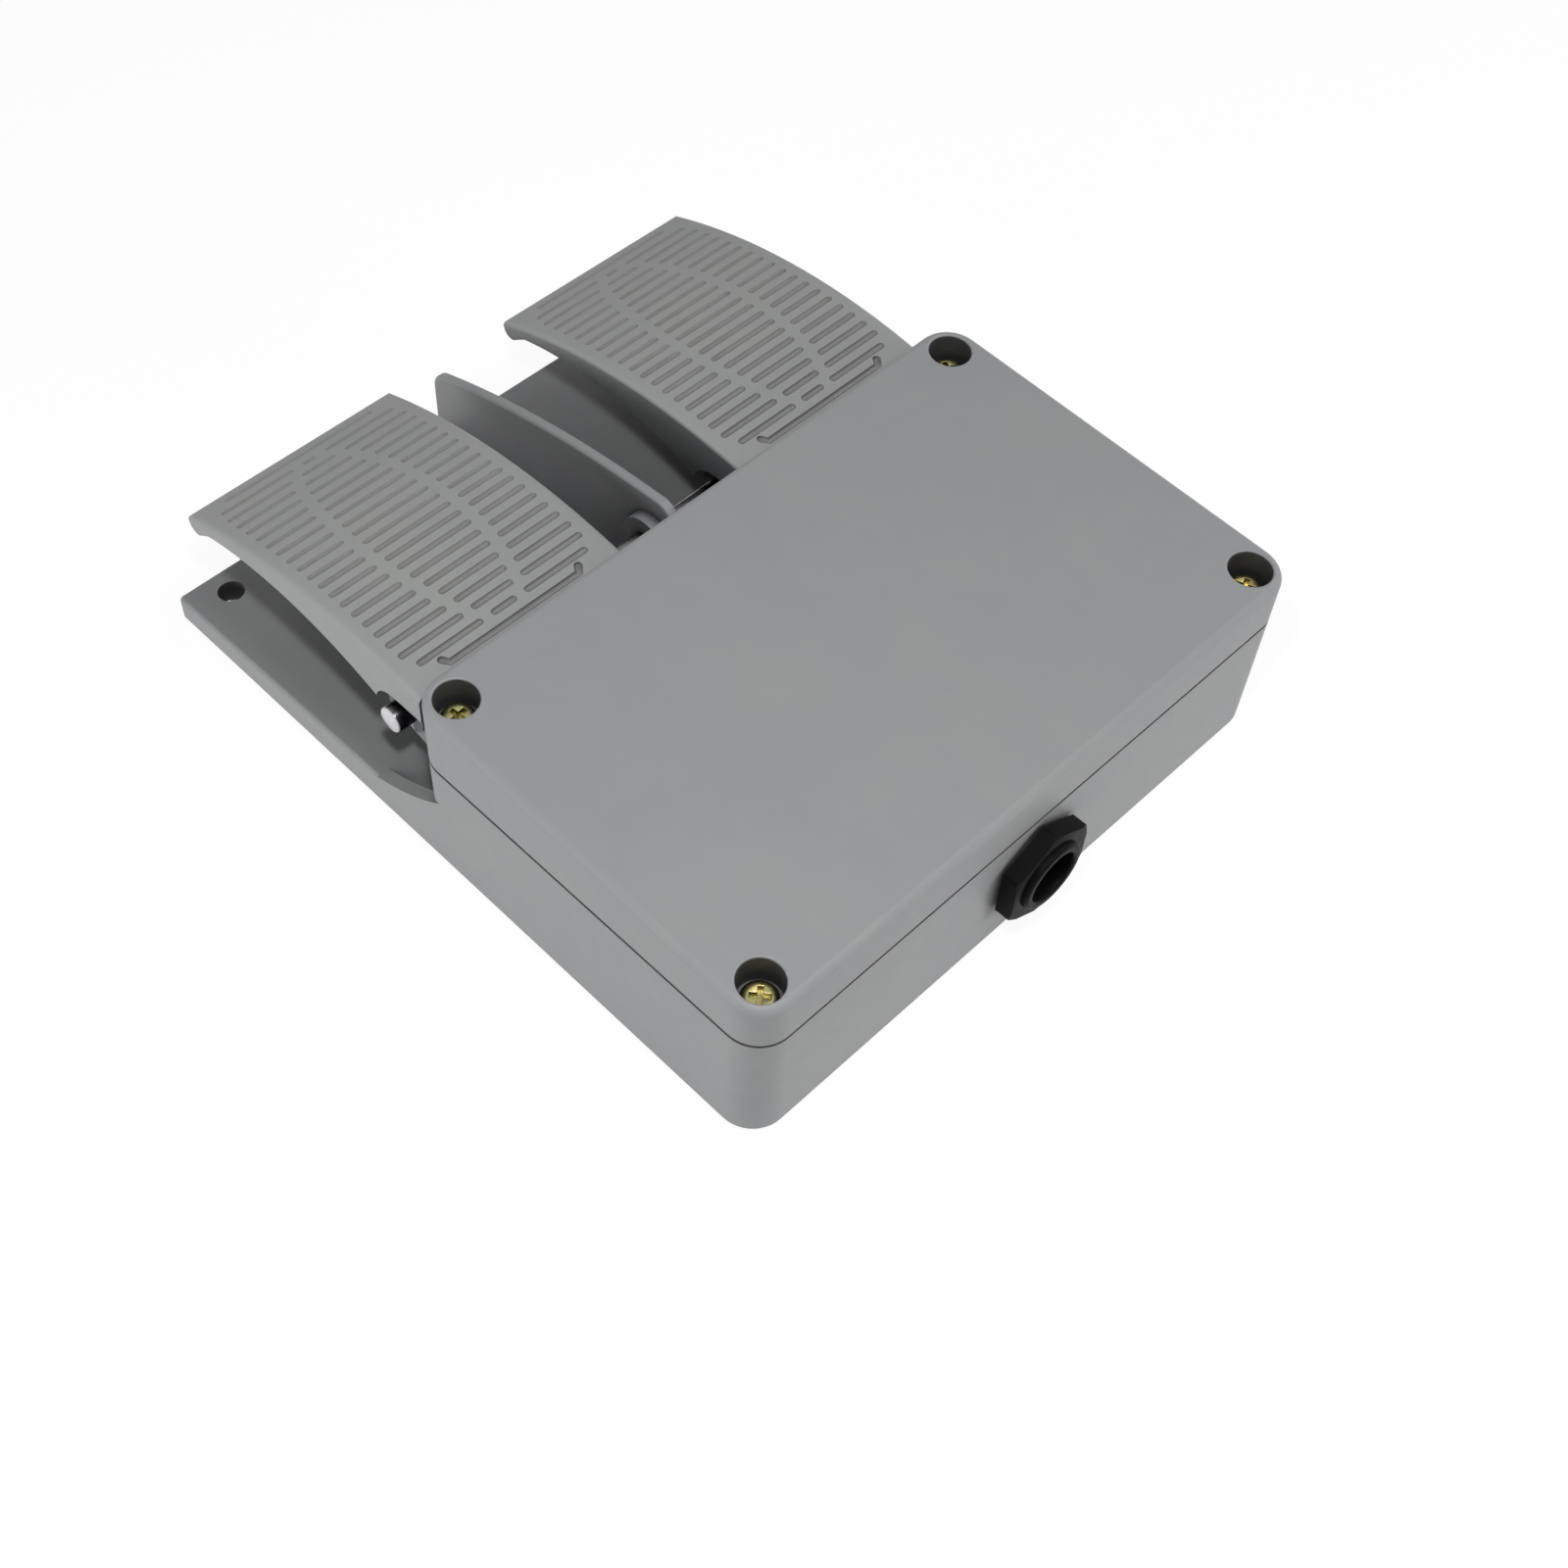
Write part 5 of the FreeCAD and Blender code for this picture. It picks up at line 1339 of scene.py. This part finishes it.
        bores += [add_drum("bush_bore", self.bush_bore_r, (start - 0.01, y, z),
                           self.hub_width + 0.02, Axis.X, 48) for start in self.hub_starts]
        combine(shell, bores, Cut.TAKE_AWAY)

    def field_half_width(self, y: float) -> float:
        """Measure the grooved field, a rectangle with rounded corners.

        Args:
            y: A place along the length.

        Returns:
            Half the field's width there.
        """
        rear = self.rear_y - self.first_setback
        front = self.rear_y - self.field_tip_setback
        from_end = min(rear - y, y - front)
        if from_end >= self.field_corner:
            return self.field_half
        short = self.field_corner - from_end
        return self.field_half - self.field_corner + math.sqrt(self.field_corner ** 2 - short ** 2)

    def groove_spans(self, y: float) -> list[tuple[float, float]]:
        """Part one groove row where it crosses the long oval.

        Args:
            y: The row's place along the length.

        Returns:
            The ends of each stretch, measured from the pedal's middle.
        """
        half = max(self.field_half_width(y), self.first_half)
        share = (y - (self.rear_y - self.eye_setback)) / self.eye_length_half
        if abs(share) >= 1:
            return [(-half, half)]
        eye = self.eye_half * math.sqrt(1 - share ** 2)
        spans = [(-half, -eye - self.gap / 2), (self.gap / 2 - eye, eye - self.gap / 2),
                 (eye + self.gap / 2, half)]
        least = self.least_groove * self.groove_r
        return [span for span in spans if span[1] - span[0] > least]

    def groove_tool(self, low: float, high: float, y: float, lift: float) -> bpy.types.Object:
        """A bar with round ends that lies half sunk in the pedal's top.

        Args:
            low: Its inner end, measured from the pedal's middle.
            high: Its outer end, measured from the pedal's middle.
            y: Its place along the length.
            lift: How far its middle stands above the surface.

        Returns:
            The tool.
        """
        bar = add_drum("groove", self.groove_r, (self.centre_x + low, y, self.top_z(y) + lift),
                       high - low, Axis.X, 16)
        round_edges(bar, self.groove_r * self.groove_end, 4, level_in(0))
        return bar

    def cut_grooves(self, shell: bpy.types.Object) -> None:
        """Cut the rows of grooves, shallower towards the tip, with the first row's ends turned.

        Args:
            shell: The plate.
        """
        tools = []
        for row in range(self.groove_rows):
            y = self.rear_y - self.first_setback - row * self.groove_pitch
            fade = (row / self.groove_rows) ** self.fade_power
            lift = self.heel_lift + (self.tip_lift - self.heel_lift) * fade
            tools += [self.groove_tool(low, high, y, lift) for low, high in self.groove_spans(y)]
        combine(shell, [join(tools, "grooves")], Cut.TAKE_AWAY)
        combine(shell, [self.hook_tool(-1), self.hook_tool(1)], Cut.TAKE_AWAY)

    def hook_tool(self, way: int) -> bpy.types.Object:
        """Make the tool of one turned end of the first row.

        Args:
            way: 1 for the outer end, -1 for the inner one.

        Returns:
            The tool.
        """
        y = self.rear_y - self.first_setback
        hook = self.groove_tool(-0.5, self.hook, y, self.heel_lift + self.hook_lift)
        middle = Vector((self.centre_x * MM, y * MM, self.top_z(y) * MM))
        lean = math.radians(-self.hook_lean_deg if way > 0 else self.hook_lean_deg - 180)
        hook.data.transform(Matrix.Translation(middle) @ Matrix.Rotation(lean, 4, "Z")
                            @ Matrix.Translation(-middle))
        hook.location.x += way * (self.first_half - self.groove_r) * MM
        return settle(hook, hook.name)

    def build(self) -> None:
        """Model the right pedal, mirror it for the left one and hand both over."""
        shell = self.make_shell()
        self.add_inner_forms(shell)
        self.cut_grooves(shell)
        weld(shell)
        round_edges(shell, self.nose, 6, self.is_nose_edge)
        round_edges(shell, self.edge_r, 5, self.is_top_rim)
        right = settle(shell, "pedal_plate_right")
        left = mirror_copy(right, "pedal_plate_left")
        for item, side in ((right, Side.RIGHT), (left, Side.LEFT)):
            smooth(item)
            body = f"pedal_{side.value}"
            hand_over(item, body, [body], self.materials["grey_pedal_paint"])


@dataclass
class ReturnSprings:
    """The compression springs between tray and pedals, which shorten as the pedals go down."""

    materials: dict[str, bpy.types.Material]
    centre_x: float = 57.8
    centre_y: float = -54.25
    coil_r: float = 7.2
    wire_r: float = 0.9
    coils: int = 6
    steps: int = 40
    wire_sides: int = 12
    gap: float = 0.05

    def wind(self, start_z: float, pitch: float, turns: int) -> bpy.types.Object:
        """Wind a ring of wire about the upright axis through the origin.

        Args:
            start_z: Height of the wire's middle at the start, in millimetres.
            pitch: The rise of one turn, in millimetres.
            turns: The number of turns.

        Returns:
            The open tube of wire.
        """
        select_only()
        bpy.ops.mesh.primitive_circle_add(
            vertices=self.wire_sides, radius=self.wire_r * MM, rotation=(math.pi / 2, 0, 0),
            location=(self.coil_r * MM, 0, start_z * MM))
        wire = settle(bpy.context.active_object, "spring_wire")
        apply_modifier(wire, "SCREW", axis="Z", angle=math.tau, screw_offset=pitch * MM,
                       iterations=turns, steps=self.steps, render_steps=self.steps)
        return wire

    def make_coil(self) -> bpy.types.Object:
        """Wind the whole spring, with close turns at both ends, and close the wire's ends.

        Returns:
            The right spring.
        """
        low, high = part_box("return_spring_right")
        low_z = low.z / MM + self.wire_r
        high_z = high.z / MM - self.wire_r
        close = 2 * (self.wire_r + self.gap)
        open_turns = self.coils - 2
        rise = (high_z - low_z - 2 * close) / open_turns
        coil = join([self.wind(low_z, close, 1), self.wind(low_z + close, rise, open_turns),
                     self.wind(high_z - close, close, 1)], "spring_coil")
        coil.location = (self.centre_x * MM, self.centre_y * MM, 0)
        settle(coil, "spring_coil")
        face_outwards(coil, close_ends=True)
        return coil

    def build(self) -> None:
        """Make both springs and hide the construction model's springs."""
        right = self.make_coil()
        right.name = "spring_wire_right"
        left = mirror_copy(right, "spring_wire_left")
        for item, side in ((right, Side.RIGHT), (left, Side.LEFT)):
            smooth(item)
            item.data.materials.append(self.materials["spring_wire"])
            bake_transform(item)
            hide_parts(f"return_spring_{side.value}")
            log.info("%s: %d faces between base and pedal", item.name, len(item.data.polygons))


@dataclass
class CableEntry:
    """The black cable entry in the rear wall: hexagon, raised ring, bore and inner seal."""

    materials: dict[str, bpy.types.Material]
    centre_z: float = 23.5
    wall_y: float = 113.75
    seal: float = 0.8
    across_flats: float = 27.5
    hexagon: float = 5.0
    ring: float = 1.7
    ring_r: float = 10.6
    bore_r: float = 7.9
    thread_r: float = 10.0
    thread: float = 11.0
    flat_edge_r: float = 0.55
    corner_reach: float = 0.75
    cone_flare: float = 1.6
    ring_edge_r: float = 0.9
    mouth_r: float = 0.8

    def build(self) -> None:
        """Model the entry along Y and hand it over."""
        face = self.wall_y + self.seal
        corner_r = self.across_flats / math.sqrt(3)
        nut = add_drum("entry_gland", corner_r, (0, face, self.centre_z), self.hexagon, Axis.Y, 6)
        cone = add_drum("cone", self.across_flats / 2 + self.corner_reach, (0, face, self.centre_z),
                        self.hexagon, Axis.Y, 96)
        round_edges(nut, self.flat_edge_r, 3, runs_along(1))
        pick_edges(cone, all_below(face, axis=1))
        bpy.ops.transform.resize(value=(self.cone_flare, 1.0, self.cone_flare),
                                 center_override=(0, face * MM, self.centre_z * MM))
        bpy.ops.object.mode_set(mode="OBJECT")
        combine(nut, [cone], Cut.KEEP_COMMON)
        ring = add_drum("ring", self.ring_r, (0, face, self.centre_z), self.hexagon + self.ring,
                        Axis.Y, 96)
        outer = face + self.hexagon + self.ring
        round_edges(ring, self.ring_edge_r, 5, all_above(outer, axis=1))
        thread = add_drum("thread", self.thread_r, (0, face - self.thread - self.seal, self.centre_z),
                          self.thread + self.seal + 1, Axis.Y, 96)
        combine(nut, [ring, thread], Cut.ADD)
        bore = add_drum("bore", self.bore_r, (0, face - self.thread - 5, self.centre_z),
                        self.thread + 20, Axis.Y, 96)
        combine(nut, [bore], Cut.TAKE_AWAY)
        weld(nut)
        round_edges(nut, self.mouth_r, 4, lambda a, b: self.is_mouth(a, b, outer))
        smooth(nut)
        hand_over(nut, "base", ["entry_bush"], self.materials["black_polyamide"])

    def is_mouth(self, first: Vector, last: Vector, outer: float) -> bool:
        """Tell whether an edge lies on the mouth of the bore."""
        far = [abs(math.hypot(p.x, p.z - self.centre_z) - self.bore_r) for p in (first, last)]
        return max(far) < 0.02 and min(first.y, last.y) > outer - 0.02


@dataclass
class Shaft:
    """The turned pivot shaft with its chamfered ends and clip grooves."""

    materials: dict[str, bpy.types.Material]
    radius: float = 4.0
    half_length: float = 96.0
    centre: tuple[float, float] = (-25.25, 36.5)
    groove_x: float = 89.5
    groove: float = 1.0
    depth: float = 1.0
    end_r: float = 0.7

    def build(self) -> None:
        """Model the shaft along X and hand it over."""
        shaft = add_drum("shaft_bar", self.radius, (-self.half_length, *self.centre),
                         2 * self.half_length, Axis.X, 64)
        round_edges(shaft, self.end_r, 3, level_in(0))
        rings = []
        for way in (-1, 1):
            start = self.groove_x if way > 0 else -self.groove_x - self.groove
            ring = add_drum("ring", self.radius + 1, (start, *self.centre), self.groove, Axis.X, 64)
            core = add_drum("core", self.radius - self.depth, (start - 1, *self.centre),
                            self.groove + 2, Axis.X, 64)
            combine(ring, [core], Cut.TAKE_AWAY)
            rings.append(ring)
        combine(shaft, rings, Cut.TAKE_AWAY)
        weld(shaft)
        smooth(shaft)
        hand_over(shaft, "base", ["pivot_shaft"], self.materials["turned_steel"])


@dataclass
class TreadMat:
    """The non-slip mat under the base, with a tread of shallow channels."""

    materials: dict[str, bpy.types.Material]
    half_width: float = 94.0
    front_y: float = -98.25
    rear_y: float = 107.75
    thickness: float = 2.5
    corner_r: float = 6.0
    pitch: float = 8.0
    channel: float = 3.0
    channel_depth: float = 0.8
    channel_end_r: float = 1.4
    foot_r: float = 0.3
    margin: float = 7.0

    def build(self) -> None:
        """Model the mat and cut its channels."""
        mat = add_block("tread_mat", (-self.half_width, self.front_y, 0),
                        (self.half_width, self.rear_y, self.thickness))
        round_edges(mat, self.corner_r, 8, runs_along(2))
        round_edges(mat, self.foot_r, 2, all_below(0.0))
        channels = []
        y = self.front_y + self.margin
        while y + self.channel < self.rear_y - self.margin:
            channel = add_block("channel", (self.margin - self.half_width, y, -1),
                                (self.half_width - self.margin, y + self.channel, self.channel_depth))
            round_edges(channel, self.channel_end_r, 3, runs_along(2))
            channels.append(channel)
            y += self.pitch
        combine(mat, [join(channels, "channels")], Cut.TAKE_AWAY)
        weld(mat)
        smooth(mat)
        hand_over(mat, "base", ["non_slip_mat"], self.materials["mat_rubber"])


CARRIED_OVER = {
    "lid_gasket": "gasket_rubber", "shaft_clips": "clip_steel", "bracket_screws": "bright_zinc",
    "switch_screws": "bright_zinc", "terminal_block": "ivory_block_plastic",
    "terminal_screws": "machined_brass", "earth_screw": "machined_brass", "earth_tag": "machined_brass",
    "entry_nut": "black_polyamide", "entry_seal": "gasket_rubber", "pedal_bushes": "white_nylon",
    "rod_guide": "white_nylon", "push_rod": "turned_steel", "switch_body": "black_case_plastic",
    "switch_blades": "contact_silver", "switch_bracket": "rolled_steel_sheet",
    "switch_lever": "rolled_steel_sheet", "switch_plunger": "red_button_plastic",
}


def dress_carried_over(materials: dict[str, bpy.types.Material]) -> None:
    """Give every node that stays its material.

    Args:
        materials: The materials by name.
    """
    for node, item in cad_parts.items():
        kind = node.removesuffix("_left").removesuffix("_right")
        if kind in CARRIED_OVER:
            item.data.materials.clear()
            item.data.materials.append(materials[CARRIED_OVER[kind]])
            log.info("%s: carried over, finished as %s", node, CARRIED_OVER[kind])


# Stage


@dataclass(frozen=True)
class Lamp:
    """A soft square lamp that faces the object: its place and side in metres, its power in watts.

    The low lamps don't show in reflections, because they would glare on the lid in flat views.
    """

    name: str
    place: tuple[float, float, float]
    size: float
    power: float
    in_gloss: bool = True


LAMPS = (
    Lamp("lamp_key", (0.20, 0.16, 0.46), 0.035, 0.88),
    Lamp("lamp_top", (-0.2, 0.5, 1.5), 0.6, 6.3),
    Lamp("lamp_far", (-1.2, 0.2, 1.1), 0.8, 4.1),
    Lamp("lamp_rear", (-0.5, 0.9, 0.20), 0.4, 3.6, in_gloss=False),
    Lamp("lamp_side", (0.9, 0.0, 0.25), 0.4, 1.5, in_gloss=False),
    Lamp("lamp_front", (0.9, -0.4, 0.20), 0.4, 2.4, in_gloss=False),
)


def seen_directly(bench: Bench) -> bpy.types.NodeSocket:
    """Tell the rays of the camera and of clear or glossy pieces from those that only light.

    Args:
        bench: The bench of the floor's material or of the world.

    Returns:
        A socket that is 1 for them and 0 for all others.
    """
    path = bench.add("LightPath")
    seen = bench.math("MAXIMUM", path.outputs["Is Camera Ray"], path.outputs["Is Glossy Ray"])
    return bench.math("MAXIMUM", seen, path.outputs["Is Transmission Ray"])


@dataclass
class Studio:
    """A pale floor, soft lamps and the camera at the photograph's angle."""

    camera_place: tuple[float, float, float] = (0.2802, 0.26845, 0.4722)
    azimuth_deg: float = 136.55
    elevation_deg: float = 53.19
    lens: float = 48.74
    sensor: float = 36.0
    shift_x: float = 0.0844
    shift_y: float = -0.0129
    floor_size: float = 6.0
    floor_colour: Colour = (0.82, 0.82, 0.82, 1.0)
    floor_white: float = 0.86
    floor_glow: float = 1.07
    side_margin: float = 0.007
    front_margin: float = 0.004
    world_strength: float = 0.02
    lamp_aim: tuple[float, float, float] = (0.0, 0.0, 0.03)

    def make_floor(self) -> None:
        """A plain floor that shows white but keeps the object's shadow."""
        select_only()
        bpy.ops.mesh.primitive_plane_add(size=self.floor_size, location=(0, 0, 0))
        floor = bpy.context.active_object
        floor.name = "studio_floor"
        material = bpy.data.materials.new("studio_floor")
        material.use_nodes = True
        tree = material.node_tree
        tree.nodes.clear()
        bench = Bench(tree)
        plain = bench.add("BsdfDiffuse", Color=self.floor_colour)
        bright = bench.add("Emission", Color=(1.0, 1.0, 1.0, 1.0), Strength=self.floor_glow)
        white = bench.math("MULTIPLY", seen_directly(bench), self.open_floor(bench))
        mix = bench.add("MixShader", Fac=white)
        tree.links.new(plain.outputs["BSDF"], mix.inputs[1])
        tree.links.new(bright.outputs["Emission"], mix.inputs[2])
        out = bench.add("OutputMaterial")
        tree.links.new(mix.outputs["Shader"], out.inputs["Surface"])
        floor.data.materials.append(material)

    def open_floor(self, bench: Bench) -> bpy.types.NodeSocket:
        """How much the floor shows white: not at all under the base, where it lies in the dark.

        Args:
            bench: The floor material's bench.

        Returns:
            The share of white, from 0 to floor_white.
        """
        place = bench.add("SeparateXYZ", Vector=bench.add("TexCoord").outputs["Object"])
        inside = 1.0
        for label, (low, high) in zip("XY", self.base_footprint()):
            spot = place.outputs[label]
            inside = bench.math("MULTIPLY", inside, bench.math("GREATER_THAN", spot, low))
            inside = bench.math("MULTIPLY", inside, bench.math("LESS_THAN", spot, high))
        return bench.math("MULTIPLY", bench.math("SUBTRACT", 1.0, inside), self.floor_white)

    def base_footprint(self) -> list[tuple[float, float]]:
        """Measure the floor that the base hides, a little inside its edges.

        Returns:
            Its ends in x and in y.
        """
        low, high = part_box("base_casting")
        return [(low.x + self.side_margin, high.x - self.side_margin),
                (low.y + self.front_margin, high.y - self.side_margin)]

    def make_world(self) -> None:
        """An even pale surround that the camera and gloss see as white."""
        world = bpy.data.worlds.new("studio_world")
        bpy.context.scene.world = world
        world.use_nodes = True
        tree = world.node_tree
        tree.nodes.clear()
        bench = Bench(tree)
        strength = bench.spread(seen_directly(bench), 0.0, 1.0, self.world_strength, 1.0)
        back = bench.add("Background", Color=(1.0, 1.0, 1.0, 1.0))
        tree.links.new(strength, back.inputs["Strength"])
        out = bench.add("OutputWorld")
        tree.links.new(back.outputs["Background"], out.inputs["Surface"])

    def add_lamp(self, lamp: Lamp) -> None:
        """Hang one lamp.

        Args:
            lamp: What it is like.
        """
        data = bpy.data.lights.new(lamp.name, "AREA")
        data.shape = "SQUARE"
        data.size = lamp.size
        data.energy = lamp.power
        item = bpy.data.objects.new(lamp.name, data)
        bpy.context.scene.collection.objects.link(item)
        item.location = lamp.place
        item.visible_glossy = lamp.in_gloss
        toward = Vector(self.lamp_aim) - Vector(lamp.place)
        item.rotation_euler = toward.to_track_quat("-Z", "Y").to_euler()

    def make_camera(self) -> None:
        """The camera at the photograph's place, angle and lens."""
        data = bpy.data.cameras.new("camera")
        data.lens = self.lens
        data.sensor_width = self.sensor
        data.shift_x = self.shift_x
        data.shift_y = self.shift_y
        data.clip_start = 0.01
        data.clip_end = 50.0
        camera = bpy.data.objects.new("camera", data)
        bpy.context.scene.collection.objects.link(camera)
        turn, tilt = math.radians(self.azimuth_deg), math.radians(self.elevation_deg)
        back = Vector((math.sin(turn) * math.cos(tilt), -math.cos(turn) * math.cos(tilt),
                       math.sin(tilt)))
        camera.location = self.camera_place
        camera.rotation_euler = (-back).to_track_quat("-Z", "Y").to_euler()
        bpy.context.scene.camera = camera

    def build(self) -> None:
        """Set up the floor, the world, the lamps and the camera."""
        self.make_floor()
        self.make_world()
        for lamp in LAMPS:
            self.add_lamp(lamp)
        self.make_camera()
        bpy.context.scene.view_settings.view_transform = "Standard"


def main() -> None:
    """Build every sub-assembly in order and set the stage."""
    logging.basicConfig(level=logging.INFO, format="%(message)s")
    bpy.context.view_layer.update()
    effects = Effects()
    materials = {finish.name: finish.build(effects) for finish in FINISHES}
    housing = Housing(materials)
    housing.build()
    LidScrews(materials, housing.screw_places()).build()
    PedalCasting(materials).build()
    ReturnSprings(materials).build()
    CableEntry(materials).build()
    Shaft(materials).build()
    TreadMat(materials).build()
    dress_carried_over(materials)
    Studio().build()
    bpy.context.view_layer.update()


if __name__ == "__main__":
    main()
